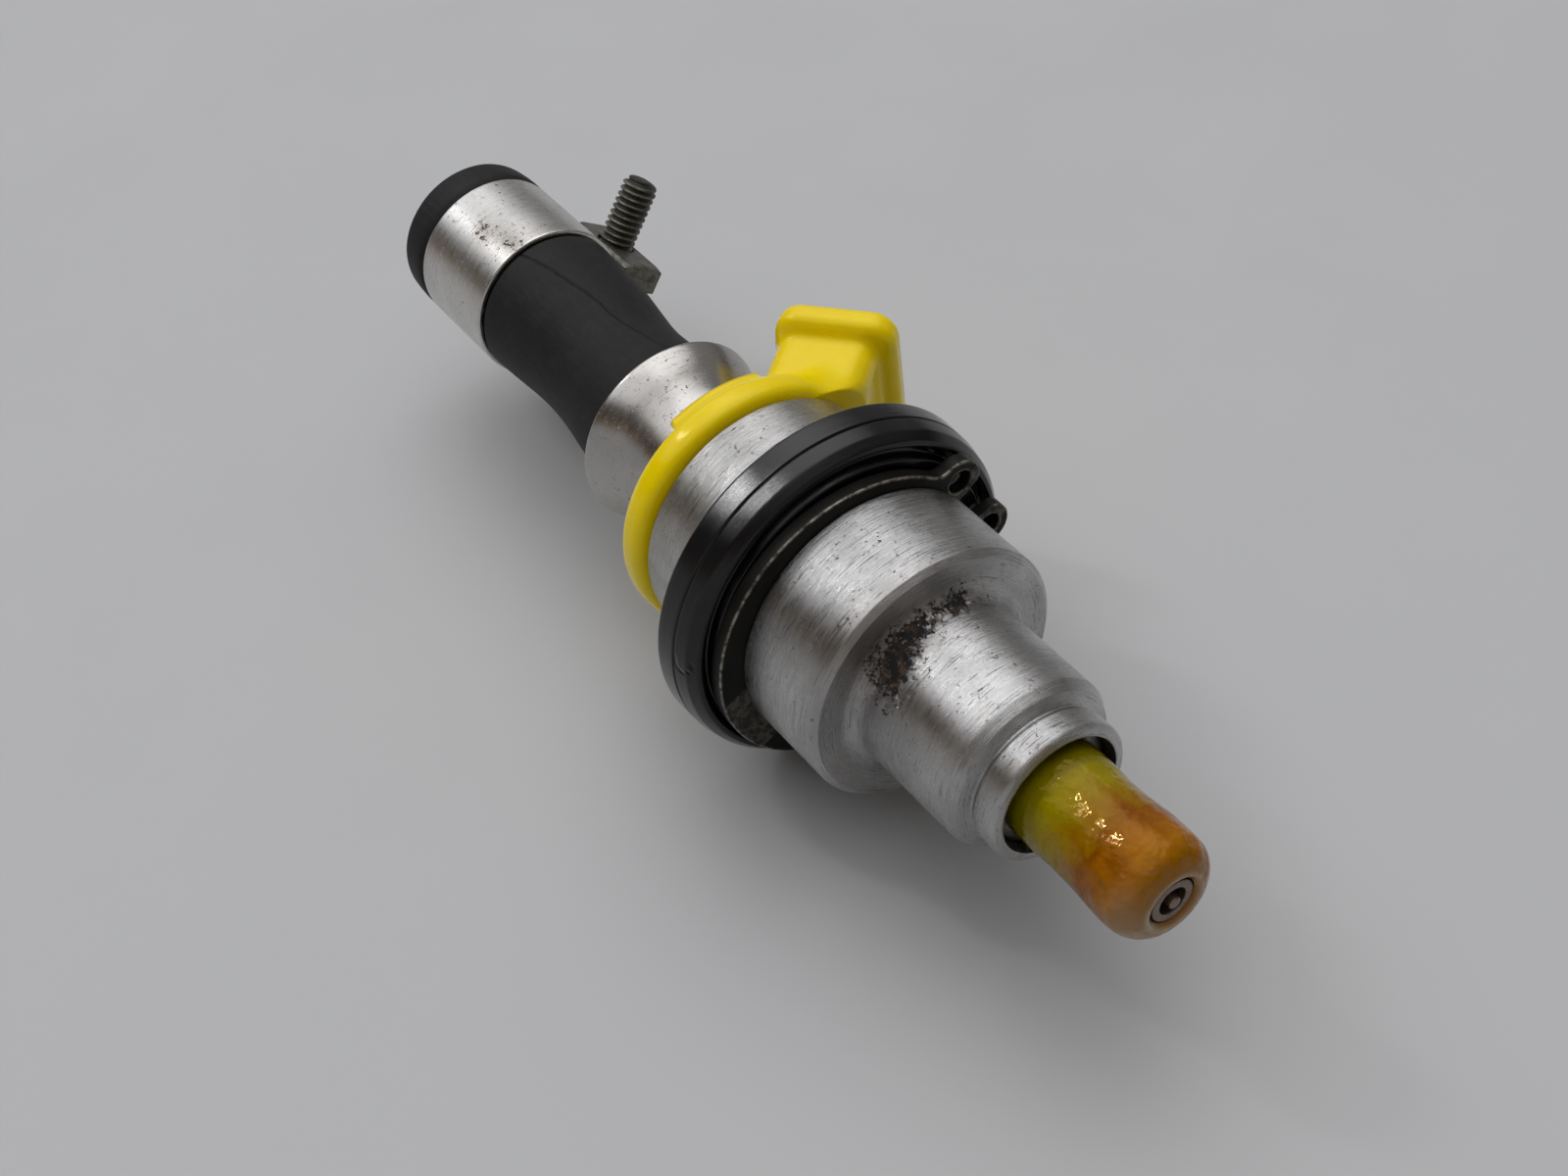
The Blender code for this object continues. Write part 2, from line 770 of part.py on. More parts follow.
def make_band(place):
    half = CLAMP_WIDTH / 2
    strip = thicken(band_path(), BAND_THICK)
    band = prism("clamp_band", strip, -half, half, polished_steel(), place)
    hole = rod("ear_hole", THREAD_R + 0.25, -5.0, 5.0, steel(), helper=True)
    hole.parent = place
    hole.location = (SCREW_OFFSET * MM, 0, 0)
    hole.rotation_euler = (math.pi / 2, 0, 0)
    cut(band, hole)
    ear_from, ear_to = NUT_INNER - 0.2, EAR_TIP + 1.0
    ear_box = [(ear_from, -6.0), (ear_to, -6.0), (ear_to, 6.0), (ear_from, 6.0)]
    trims = ((-half - 1, -EAR_HALF_WIDTH), (EAR_HALF_WIDTH, half + 1))
    for index, (low, high) in enumerate(trims):
        trim = prism(f"ear_trim_{index}", ear_box, low, high, steel(), place, helper=True)
        cut(band, trim)


def make_screw(place):
    head_top = -HEAD_SEAT - HEAD_HEIGHT
    outline = [
        (head_top, 0.0),
        (head_top, HEAD_R - 0.5),
        (head_top + 0.5, HEAD_R),
        (-HEAD_SEAT, HEAD_R),
        (-HEAD_SEAT, THREAD_R),
        (THREAD_END - 0.4, THREAD_R),
        (THREAD_END, THREAD_R - 0.4),
        (THREAD_END, 0.0),
    ]
    screw = revolve("clamp_screw", outline, dull_zinc(), SMALL_STEPS, place)
    bottom = head_top + SLOT_DEPTH
    across = HEAD_R + 1
    driver = [(head_top - 1, -across), (bottom, -across), (bottom, across), (head_top - 1, across)]
    slot = prism("driver_slot", driver, -SLOT_WIDTH / 2, SLOT_WIDTH / 2, steel(), place, helper=True)
    cut(screw, slot)


def make_nut(screw_frame):
    """Square nut plate whose lip is bent over the edge of the ear."""
    top = NUT_SEAT + NUT_THICK
    lip_edge = NUT_LIP_Y - NUT_LIP_THICK
    section = [
        (NUT_SEAT - NUT_LIP_DROP, NUT_LIP_Y),
        (NUT_SEAT - NUT_LIP_DROP, lip_edge),
        (NUT_SEAT, lip_edge),
        (NUT_SEAT, -NUT_HALF_WIDTH),
        (top, -NUT_HALF_WIDTH),
        (top, NUT_LIP_Y),
    ]
    # In the screw's frame: X along the screw, Y towards the nozzle, Z away from the hose.
    inner = NUT_INNER - SCREW_OFFSET
    outer = EAR_TIP - 0.3 - SCREW_OFFSET
    nut = prism("clamp_nut", section, inner, outer, dull_zinc(), screw_frame)
    bore = rod("nut_bore", THREAD_R + 0.13, -10.0, 10.0, steel(), helper=True)
    bore.parent = screw_frame
    bore.rotation_euler = (0, math.pi / 2, 0)
    cut(nut, bore)


# Rings on the body


def clip_outline():
    """Retaining ring with its gap at angle zero: bore arc, lug, outer arc, lug."""
    lug = (LUG_CENTRE_R * math.cos(LUG_ANGLE), LUG_CENTRE_R * math.sin(LUG_ANGLE))
    gap_angle = LUG_ANGLE - 0.85 * LUG_R / LUG_CENTRE_R
    bore = arc((0, 0), CLIP_BORE_R, gap_angle, 2 * math.pi - gap_angle, 48)
    lug_arc = arc(lug, LUG_R, LUG_ANGLE - 0.62 * math.pi, LUG_ANGLE + 0.42 * math.pi, 8)
    blend = LUG_ANGLE + math.radians(14)
    hoop = arc((-CLIP_SHIFT, 0), CLIP_OUTER_R, blend, 2 * math.pi - blend, 40)
    mirrored = [(x, -y) for x, y in reversed(lug_arc)]
    return lug_arc + hoop + mirrored + bore[::-1]


def make_circlip():
    side = Vector((0, -math.cos(CLIP_GAP_ANGLE), math.sin(CLIP_GAP_ANGLE)))
    axis = Vector((1, 0, 0))
    place = empty("clip_frame", (CLIP_GROOVE_X + 0.05, 0, 0), (side, axis.cross(side), axis))
    clip = prism("circlip", clip_outline(), 0, CLIP_THICK, black_steel(), place)
    for index, sign in enumerate((-1, 1)):
        hole = rod(f"lug_hole_{index}", LUG_HOLE_R, -1.0, CLIP_THICK + 1.0, steel(), 12, helper=True)
        hole.parent = place
        x = LUG_CENTRE_R * math.cos(LUG_ANGLE) * MM
        hole.location = (x, sign * LUG_CENTRE_R * math.sin(LUG_ANGLE) * MM, 0)
        cut(clip, hole)


def make_insulator_ring():
    """Moulded ring with a dished front face and a parting groove round its rim."""
    outline = [
        (INSULATOR_X, INSULATOR_BORE_R),
        (INSULATOR_X, 12.5),
        (37.0, 12.8),
        (37.0, 13.2),
        (36.4, 13.5),
        (36.5, 13.95),
        (37.1, 14.45),
        (38.2, 14.75),
        (38.45, 14.5),
        (38.7, 14.8),
        (40.4, INSULATOR_R),
        (INSULATOR_REAR_X, 14.45),
        (INSULATOR_REAR_X, INSULATOR_BORE_R),
    ]
    revolve("insulator_ring", outline, black_plastic())


# Rear cover


def make_label_pad():
    """Plain raised pad on the rear of the cover's rim."""
    outline = [(50.6, 7.6), (50.6, 10.8), (51.9, 10.8), (52.6, 10.1), (52.6, 7.6)]
    mesh_data = spin_outline(outline, 6, PAD_FROM, PAD_SWEEP)
    return as_object("label_pad", mesh_data, yellow_plastic(), helper=True)


def make_connector_cover():
    """Moulded cover behind the magnet, with the two-pin connector leaning towards the hose."""
    lean_axis = Vector((math.sin(CONNECTOR_LEAN), -math.cos(CONNECTOR_LEAN), 0))
    front_axis = Vector((math.cos(CONNECTOR_LEAN), math.sin(CONNECTOR_LEAN), 0))
    columns = (front_axis, Vector((0, 0, 1)), lean_axis)
    place = empty("connector_frame", (CONNECTOR_X, 0, 0), columns)
    yellow = yellow_plastic()
    outline = [
        (48.2, TUBE_R + 0.15),
        (48.2, COVER_PLUG_R),
        (COVER_X, COVER_PLUG_R),
        (COVER_X, COVER_R - 0.4),
        (COVER_X + 0.4, COVER_R),
        (51.2, COVER_R),
        (51.7, COVER_R - 0.4),
        (52.0, 9.9),
        (52.9, 6.6),
        (53.1, TUBE_R + 0.15),
    ]
    cover = revolve("connector_cover", outline, yellow)
    shroud_outline = [(x + SHROUD_SHIFT, y) for x, y in rectangle(*SHROUD_HALF, 1.6)]
    shroud = prism("shroud", shroud_outline, SHROUD_FROM, FLANGE_TOP - 0.5, yellow, place, helper=True)
    ahead = [(40.0, 0.0), (40.0, 16.0), (COVER_X, 16.0), (COVER_X, 0.0)]
    behind = [(53.2, 0.0), (53.2, 6.4), (56.0, 6.4), (58.0, 7.2), (60.0, 8.4), (60.0, 0.0)]
    cut(shroud, revolve("body_clearance", ahead, yellow, helper=True))
    cut(shroud, revolve("cup_clearance", behind, yellow, helper=True))
    flange_outline = rectangle(*FLANGE_HALF, 2.0)
    flange_bottom = FLANGE_TOP - FLANGE_THICK
    flange = prism("flange", flange_outline, flange_bottom, FLANGE_TOP, yellow, place, helper=True)
    socket_outline = rectangle(*SOCKET_HALF, 1.0)
    socket = prism("socket", socket_outline, SOCKET_FLOOR, FLANGE_TOP + 2.0, yellow, place, helper=True)
    fuse(cover, shroud)
    fuse(cover, flange)
    fuse(cover, make_label_pad())
    cut(cover, socket)
    for channel in pin_channels("cover"):
        cut(cover, channel)


def main():
    clear_scene()
    make_pintle_cap()
    make_valve_body()
    make_needle()
    make_stop_shim()
    make_ring_seal("valve_body_seal", 18.0, 4.65, 0.45)
    make_housing()
    make_armature()
    make_return_spring()
    make_adjusting_sleeve()
    make_pole_core()
    make_bobbin()
    make_winding()
    make_ring_seal("coil_seal_front", BOBBIN_FRONT_X + 0.6, 4.65, 0.5)
    make_ring_seal("coil_seal_rear", BOBBIN_REAR_X - 0.6, 4.65, 0.5)
    make_terminals()
    make_inlet_filter()
    make_hose_cup()
    make_hose()
    make_clamp()
    make_circlip()
    make_insulator_ring()
    make_connector_cover()


main()
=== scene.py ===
"""Looks of the fuel injector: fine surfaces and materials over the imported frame.

Lengths are in millimetres until a mesh is made. Angles round the spray axis (X) start at -Y,
where the connector is, and turn towards +Z. Places come from the frame's boxes and joints, or are
millimetres in the frame.
"""

import json
import math

import bmesh
import bpy
import numpy as np
from mathutils import Matrix, Vector


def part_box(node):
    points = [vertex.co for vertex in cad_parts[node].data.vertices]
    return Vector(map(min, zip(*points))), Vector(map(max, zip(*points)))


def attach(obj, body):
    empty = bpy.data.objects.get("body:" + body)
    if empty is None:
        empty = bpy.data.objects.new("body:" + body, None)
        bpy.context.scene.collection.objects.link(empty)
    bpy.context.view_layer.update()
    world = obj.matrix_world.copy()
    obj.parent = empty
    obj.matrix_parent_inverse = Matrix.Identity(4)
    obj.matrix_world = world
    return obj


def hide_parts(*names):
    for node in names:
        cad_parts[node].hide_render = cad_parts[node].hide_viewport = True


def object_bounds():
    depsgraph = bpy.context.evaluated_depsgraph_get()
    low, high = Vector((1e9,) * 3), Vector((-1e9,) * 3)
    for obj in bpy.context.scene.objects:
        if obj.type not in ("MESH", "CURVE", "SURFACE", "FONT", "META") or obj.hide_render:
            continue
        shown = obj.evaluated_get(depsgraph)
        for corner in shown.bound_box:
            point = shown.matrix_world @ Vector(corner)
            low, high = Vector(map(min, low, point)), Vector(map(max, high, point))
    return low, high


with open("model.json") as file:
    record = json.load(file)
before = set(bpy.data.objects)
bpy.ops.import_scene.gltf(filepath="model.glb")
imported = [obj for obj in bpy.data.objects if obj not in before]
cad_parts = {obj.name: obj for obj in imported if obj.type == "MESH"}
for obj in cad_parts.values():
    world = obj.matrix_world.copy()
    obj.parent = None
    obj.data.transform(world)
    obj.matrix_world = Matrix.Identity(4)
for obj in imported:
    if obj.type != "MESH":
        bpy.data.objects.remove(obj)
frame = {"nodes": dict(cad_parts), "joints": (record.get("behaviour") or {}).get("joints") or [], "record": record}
CAD_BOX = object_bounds()

MM = 0.001
SEED = 7


# Places from the frame


def box_mm(node):
    """Lowest and highest corner of a CAD node, in millimetres."""
    low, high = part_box(node)
    return low / MM, high / MM


def joint(name):
    return next(item for item in frame["joints"] if item["name"] == name)


CAP_LOW, CAP_HIGH = box_mm("pintle_cap")
HOUSING_LOW, HOUSING_HIGH = box_mm("housing")
CLIP_LOW, CLIP_HIGH = box_mm("circlip")
RING_LOW, RING_HIGH = box_mm("insulator_ring")
CUP_LOW, CUP_HIGH = box_mm("hose_cup")
HOSE_LOW, HOSE_HIGH = box_mm("fuel_hose")
COVER_LOW, COVER_HIGH = box_mm("connector_cover")
BAND_LOW, BAND_HIGH = box_mm("clamp_band")
CLAMP_CENTRE = Vector(joint("clamp_turn")["pos_m"]) / MM
SCREW_ALONG = Vector(joint("nut_travel")["axis"]).normalized()
HOSE_ALONG = Vector((1, 0, 0))
EARS_OUT = HOSE_ALONG.cross(SCREW_ALONG).normalized()
SCREW_OFFSET = (Vector(joint("screw_turn")["pos_m"]) / MM - CLAMP_CENTRE).dot(EARS_OUT)
CONNECTOR_MOUNT = next(m for m in frame["record"]["mounts"] if m["name"] == "connector_face")
CONNECTOR_ALONG = Vector(CONNECTOR_MOUNT["axis"]).normalized()
BODIES = frame["record"]["behaviour"]["bodies"]
BODY_OF = {node: body for body, nodes in BODIES.items() for node in nodes}


# Outlines


def rounded(corners, steps=5):
    """Points of a closed outline of (x, r, radius) corners, each turned into an arc of that radius."""
    points = []
    for index, (x, r, radius) in enumerate(corners):
        if radius == 0:
            points.append((x, r))
            continue
        here = Vector((x, r))
        before = Vector(corners[index - 1][:2]) - here
        after = Vector(corners[(index + 1) % len(corners)][:2]) - here
        half = before.angle(after) / 2
        reach = min(radius / math.tan(half), 0.49 * before.length, 0.49 * after.length)
        inward = (before.normalized() + after.normalized()).normalized()
        centre = here + inward * reach / math.cos(half)
        start = here + before.normalized() * reach - centre
        turn = start.angle_signed(here + after.normalized() * reach - centre)
        for step in range(steps + 1):
            points.append(tuple(centre + Matrix.Rotation(-turn * step / steps, 2) @ start))
    return points


def smooth_curve(points, steps=8):
    """Catmull-Rom curve through (x, r) points."""
    padded = np.array([points[0], *points, points[-1]], float)
    made = []
    for a, b, c, d in zip(padded, padded[1:], padded[2:], padded[3:]):
        slope, bend, twist = c - a, 2 * a - 5 * b + 4 * c - d, 3 * b - a - 3 * c + d
        for t in np.arange(steps) / steps:
            made.append(tuple(0.5 * (2 * b + slope * t + bend * t**2 + twist * t**3)))
    return made + [tuple(points[-1])]


def divided(points, longest):
    """The same closed outline with no stretch longer than this."""
    made = []
    for (x0, r0), (x1, r1) in zip(points, points[1:] + points[:1]):
        pieces = max(1, math.ceil(math.hypot(x1 - x0, r1 - r0) / longest))
        made += [(x0 + (x1 - x0) * i / pieces, r0 + (r1 - r0) * i / pieces) for i in range(pieces)]
    return made


# Meshes


def add_object(name, data):
    made = bpy.data.objects.new(name, data)
    bpy.context.scene.collection.objects.link(made)
    return made


def new_piece(name, verts, faces):
    """An object from points in millimetres and faces of four points."""
    mesh = bpy.data.meshes.new(name)
    verts = np.asarray(verts, np.float64) * MM
    faces = np.asarray(faces, np.int32)
    mesh.vertices.add(len(verts))
    mesh.vertices.foreach_set("co", verts.ravel())
    mesh.loops.add(faces.size)
    mesh.loops.foreach_set("vertex_index", faces.ravel())
    mesh.polygons.add(len(faces))
    mesh.polygons.foreach_set("loop_start", np.arange(0, faces.size, 4, dtype=np.int32))
    mesh.update(calc_edges=True)
    return add_object(name, mesh)


def clean(obj, sharp=40):
    """Merges points that meet on the axis, turns the faces outwards and marks the sharp edges."""
    made = bmesh.new()
    made.from_mesh(obj.data)
    bmesh.ops.remove_doubles(made, verts=made.verts, dist=2e-7)
    bmesh.ops.recalc_face_normals(made, faces=made.faces)
    made.to_mesh(obj.data)
    made.free()
    obj.data.shade_smooth()
    obj.data.set_sharp_from_angle(angle=math.radians(sharp))
    return obj


def grid_faces(rows, columns, wrap_rows):
    """Quads of a grid that is closed round its columns, and round its rows too if wrap_rows."""
    row = np.arange(rows if wrap_rows else rows - 1)[:, None]
    column = np.arange(columns)[None, :]
    next_row = (row + 1) % rows
    next_column = (column + 1) % columns
    corners = ((row, column), (row, next_column), (next_row, next_column), (next_row, column))
    numbers = np.broadcast_arrays(*[r * columns + c for r, c in corners])
    return np.stack(numbers, -1).reshape(-1, 4)


def turned(name, outline, segments, shape=None, sharp=40):
    """A piece made by spinning an outline about X. shape may move its grid of points."""
    outline = np.array(outline)
    angle = np.linspace(0, 2 * np.pi, segments, endpoint=False)
    x = np.repeat(outline[:, :1], segments, 1)
    grid = np.stack([x, outline[:, 1:] * np.cos(angle), outline[:, 1:] * np.sin(angle)], -1)
    if shape:
        grid = shape(grid)
    faces = grid_faces(len(outline), segments, outline[:, 1].min() > 0)
    return clean(new_piece(name, grid.reshape(-1, 3), faces), sharp)


def eased(share):
    """A share from 0 to 1 that starts and ends gently."""
    return share * share * (3 - 2 * share)


def lattice_noise(points, size, seed):
    """Smooth noise from -1 to 1 at points in millimetres, with features of about this size."""
    table = np.random.default_rng(seed).uniform(-1, 1, (32, 32, 32))
    scaled = np.asarray(points) / size
    cell = np.floor(scaled).astype(int)
    part = eased(scaled - cell)
    total = 0
    for corner in np.ndindex(2, 2, 2):
        weight = np.prod(np.where(corner, part, 1 - part), axis=-1)
        index = (cell + corner) % 32
        total = total + weight * table[index[..., 0], index[..., 1], index[..., 2]]
    return total


def angle_of(points):
    """Angle round the spray axis in degrees, from 0 to 360."""
    return np.degrees(np.arctan2(points[..., 2], -points[..., 1])) % 360


def radius_of(points):
    """Distance from the spray axis."""
    return np.hypot(points[..., 1], points[..., 2])


def moved_out(points, distance):
    """The points moved away from the spray axis by a distance."""
    share = 1 + distance / np.maximum(radius_of(points), 0.1)
    return points * np.stack([np.ones_like(share), share, share], -1)


def bell(distance, width):
    """1 at no distance, falling away smoothly over the width."""
    return np.exp(-((distance / width) ** 2))


def patch(points, station, angle, half_length, half_turn):
    """1 at a place on the body, falling away over half a length in mm and half a turn in degrees."""
    turn = (angle_of(points) - angle + 180) % 360 - 180
    return bell(points[..., 0] - station, half_length) * bell(turn, half_turn)


def patches(points, start, places):
    """Sum of patches of (strength, station from the start, angle, half length, half turn)."""
    return sum(strength * patch(points, start + x, *rest) for strength, x, *rest in places)


# Solids drawn by their distance field


def union(a, b, soft=0.0):
    """Where either solid is; soft is the width of the fillet between them."""
    if soft == 0:
        return np.minimum(a, b)
    share = np.clip(0.5 + 0.5 * (b - a) / soft, 0, 1)
    return b * (1 - share) + a * share - soft * share * (1 - share)


def both(a, b, soft=0.0):
    return -union(-a, -b, soft)


def without(a, b, soft=0.0):
    return both(a, -b, soft)


def slab(value, low, high):
    return np.abs(value - (low + high) / 2) - (high - low) / 2


def extruded(flat, across, edge):
    """A flat outline's distance made solid between the faces of across, with rounded edges."""
    qa, qb = flat + edge, across + edge
    return np.hypot(np.maximum(qa, 0), np.maximum(qb, 0)) + np.minimum(np.maximum(qa, qb), 0) - edge


def rectangle(a, b, half, radius):
    """Distance to a flat rectangle with rounded corners."""
    return extruded(np.abs(a) - half[0], np.abs(b) - half[1], radius)


def block(a, b, half, radius, along, ends, edge):
    """A rectangle made solid between two ends, with rounded edges."""
    return extruded(rectangle(a, b, half, radius), slab(along, *ends), edge)


def gradient(field, points, step):
    """Slope of the field at points."""
    slopes = [field(*(points + move).T) - field(*(points - move).T) for move in np.eye(3) * step]
    return np.stack(slopes, -1) / (2 * step)


CORNERS = np.array(list(np.ndindex(2, 2, 2)))
PAIRS = [(a, b) for a in range(8) for b in range(a + 1, 8)]
CELL_EDGES = [(a, b) for a, b in PAIRS if np.abs(CORNERS[a] - CORNERS[b]).sum() == 1]


def solid(name, field, low, high, cell):
    """A mesh of the surface where the field is zero: one point in each cell that the surface crosses."""
    axes = [np.arange(a - 2 * cell, b + 3 * cell, cell) for a, b in zip(low, high)]
    values = field(*np.meshgrid(*axes, indexing="ij")).astype(np.float32)
    inside = values < 0
    shape = np.array(values.shape) - 1
    sides = [[slice(start, start + size) for start, size in zip(corner, shape)] for corner in CORNERS]
    count = sum(inside[tuple(side)].astype(np.int8) for side in sides)
    cells = np.argwhere((count > 0) & (count < 8))
    corner_values = np.stack([values[tuple((cells + corner).T)] for corner in CORNERS], -1)
    total, found = np.zeros((len(cells), 3)), np.zeros(len(cells))
    for a, b in CELL_EDGES:
        va, vb = corner_values[:, a], corner_values[:, b]
        crossed = (va < 0) != (vb < 0)
        share = np.where(crossed, va / np.where(crossed, va - vb, 1), 0)[:, None]
        total += np.where(crossed[:, None], CORNERS[a] + (CORNERS[b] - CORNERS[a]) * share, 0)
        found += crossed
    points = (cells + total / found[:, None]) * cell + np.array([axis[0] for axis in axes])
    number = np.full(shape, -1, np.int32)
    number[tuple(cells.T)] = np.arange(len(cells))
    faces = []
    for axis in range(3):
        first, second = [other for other in range(3) if other != axis]
        step = np.eye(3, dtype=int)
        start = [slice(1, -1)] * 3
        ahead = list(start)
        start[axis], ahead[axis] = slice(0, -1), slice(1, None)
        crossed = inside[tuple(start)] != inside[tuple(ahead)]
        offset = np.array([0 if other == axis else 1 for other in range(3)])
        at = np.argwhere(crossed) + offset
        quad = [at - step[first] - step[second], at - step[second], at, at - step[first]]
        quad = np.stack([number[tuple(corner.T)] for corner in quad], -1)
        outward = inside[tuple(at.T)] == (axis != 1)
        faces.append(np.where(outward[:, None], quad, quad[:, ::-1]))
    for _ in range(4):
        slope = gradient(field, points, cell * 0.05)
        length = np.maximum((slope**2).sum(-1), 0.2)
        move = slope * (field(*points.T) / length)[:, None]
        points -= np.clip(move, -cell * 0.5, cell * 0.5)
    obj = new_piece(name, points, np.concatenate(faces))
    slope = gradient(field, points, cell * 0.15)
    normals = slope / np.maximum(np.linalg.norm(slope, axis=-1, keepdims=True), 1e-9)
    obj.data.shade_smooth()
    obj.data.normals_split_custom_set_from_vertices(normals.tolist())
    return obj


# Materials


class Graph:
    """Builds the nodes of a material or of the world. Each method gives back a socket."""

    def __init__(self, tree):
        self.tree = tree

    def feed(self, target, value):
        """Links a socket to an input, or sets the input's own value."""
        if isinstance(value, bpy.types.NodeSocket):
            self.tree.links.new(value, target)
        elif isinstance(value, tuple) and len(value) == 3 and len(target.default_value) == 4:
            target.default_value = (*value, 1.0)
        else:
            target.default_value = value

    def make(self, kind, inputs, output=0, **settings):
        """An output of a new node, whose inputs are given by name or number."""
        made = self.tree.nodes.new("ShaderNode" + kind)
        for key, value in settings.items():
            setattr(made, key, value)
        for key, value in inputs.items():
            self.feed(made.inputs[key], value)
        return made.outputs[output]

    def vector(self, operation, *values):
        output = "Value" if operation in ("LENGTH", "DOT_PRODUCT") else "Vector"
        return self.make("VectorMath", dict(enumerate(values)), output, operation=operation)

    def sum(self, operation, *values):
        return self.make("Math", dict(enumerate(values)), operation=operation)

    def plus(self, a, b):
        return self.sum("ADD", a, b)

    def times(self, a, b):
        return self.sum("MULTIPLY", a, b)

    def part(self, vector, index):
        """One coordinate of a vector."""
        return self.make("SeparateXYZ", {0: vector}, index)

    def spread(self, value, low, high, to_low=0.0, to_high=1.0):
        """The value between low and high, spread over the other range and held at its ends."""
        return self.make("MapRange", dict(enumerate((value, low, high, to_low, to_high))))

    def swing(self, pattern, low, high):
        """The middle of a pattern's range, spread from low to high."""
        return self.spread(pattern, 0.3, 0.7, low, high)

    def mix(self, share, a, b):
        """Colour between a and b."""
        return self.make("Mix", {"Factor": share, 6: a, 7: b}, 2, data_type="RGBA")

    def ramp(self, value, stops):
        """Colour that goes through stops of (position, colour)."""
        made = self.make("ValToRGB", {0: value})
        elements = made.node.color_ramp.elements
        while len(elements) < len(stops):
            elements.new(0.5)
        for element, (position, colour) in zip(elements, stops):
            element.position = position
            element.color = (*colour, 1.0)
        return made


class Paint(Graph):
    """A Principled material that is built up node by node. Its coordinates are millimetres."""

    def __init__(self, name, **settings):
        self.material = bpy.data.materials.new(name)
        self.material.use_nodes = True
        super().__init__(self.material.node_tree)
        self.shader = self.tree.nodes["Principled BSDF"]
        self.normal = None
        for key, value in settings.items():
            self.put(key.replace("_", " ").title().replace("Ior", "IOR"), value)
        self.place = self.vector("MULTIPLY", self.make("TexCoord", {}, "Object"), (1 / MM,) * 3)

    def put(self, name, value):
        self.feed(self.shader.inputs[name], value)

    def done(self, colour, roughness):
        self.put("Base Color", colour)
        self.put("Roughness", roughness)
        return self.material

    def bump(self, height, depth):
        """Raises the surface by a height from 0 to 1 times a depth in millimetres, over earlier bumps."""
        inputs = {"Strength": 1.0, "Distance": depth * MM, "Height": height}
        if self.normal is not None:
            inputs["Normal"] = self.normal
        self.normal = self.make("Bump", inputs)
        self.put("Normal", self.normal)

    def attribute(self, name):
        return self.make("Attribute", {}, "Fac", attribute_name=name)

    def noise(self, scale, detail=4.0, roughness=0.55, distortion=0.0, place=None):
        """Pattern of noise. Its scale is in cycles per millimetre."""
        inputs = {"Scale": scale, "Detail": detail, "Roughness": roughness, "Distortion": distortion}
        inputs["Vector"] = self.place if place is None else place
        return self.make("TexNoise", inputs, "Fac")

    def blots(self, scale, low, high, detail=4.0, roughness=0.55, distortion=0.0, most=1.0):
        """Blots of a pattern: none below its low level, most above its high level."""
        return self.spread(self.noise(scale, detail, roughness, distortion), low, high, 0.0, most)

    def lines(self, across, around, detail, roughness, centre=(0.0, 0.0)):
        """Noise drawn out into lines round X: cycles per mm across them, and per turn."""
        moved = self.vector("SUBTRACT", self.place, (0.0, *centre))
        flat = self.vector("MULTIPLY", moved, (0.0, 1.0, 1.0))
        profile = self.plus(self.part(moved, 0), self.vector("LENGTH", flat))
        turned_to = self.vector("MULTIPLY", self.vector("NORMALIZE", flat), (around,) * 3)
        place = self.vector("ADD", turned_to, self.make("CombineXYZ", {0: self.times(profile, across)}))
        return self.noise(1.0, detail, roughness, place=place)


def faded(colour, share):
    return tuple(channel * share for channel in colour)


def steel_paint(name, shade, rough, lines=1.0, centre=(0.0, 0.0), tint=0.4, worn=False):
    """Bare steel: fine lines round the axis, faint clouds, and stains and crust where it is worn; where the mesh
    asks, these also carry painted reflection streaks and painted shade.
    """
    paint = Paint(name, metallic=1.0)
    fine = paint.lines(9.0, 5.0, 5.0, 0.7, centre)
    coarse = paint.lines(3.4, 2.6, 6.0, 0.75, centre)
    cloud = paint.noise(0.2, 5.0, 0.55, 0.5)
    stain = paint.blots(0.4, 0.56, 0.78, 6.0, 0.65, 0.8)
    contrast = min(1.0, lines + 0.1)
    bright = tuple(min(1.0, channel) for channel in faded(shade, 1 + 0.18 * contrast))
    dark = faded(shade, 1 - 0.28 * contrast)
    brown = (shade[0] * 0.62, shade[1] * 0.5, shade[2] * 0.38)
    colour = paint.mix(paint.spread(cloud, 0.3, 0.7), dark, bright)
    colour = paint.mix(paint.spread(coarse, 0.35, 0.7, 0.0, 0.45 * lines), colour, dark)
    scratch = paint.lines(6.0, 2.2, 3.0, 0.55, centre)
    scratch = paint.spread(scratch, 0.62, 0.68, 0.0, lines)
    colour = paint.mix(paint.times(scratch, 0.45), colour, faded(shade, 0.3))
    colour = paint.mix(paint.times(stain, tint), colour, brown)
    roughness = paint.swing(fine, rough - 0.06, rough + 0.08)
    roughness = paint.plus(roughness, paint.swing(coarse, -0.07 * lines, 0.09 * lines))
    paint.bump(fine, 0.03 * lines)
    paint.bump(coarse, 0.05 * lines**2)
    paint.bump(scratch, -0.025)
    if worn:
        colour, roughness = add_wear(paint, colour, roughness, stain, lines)
    return paint.done(colour, roughness)


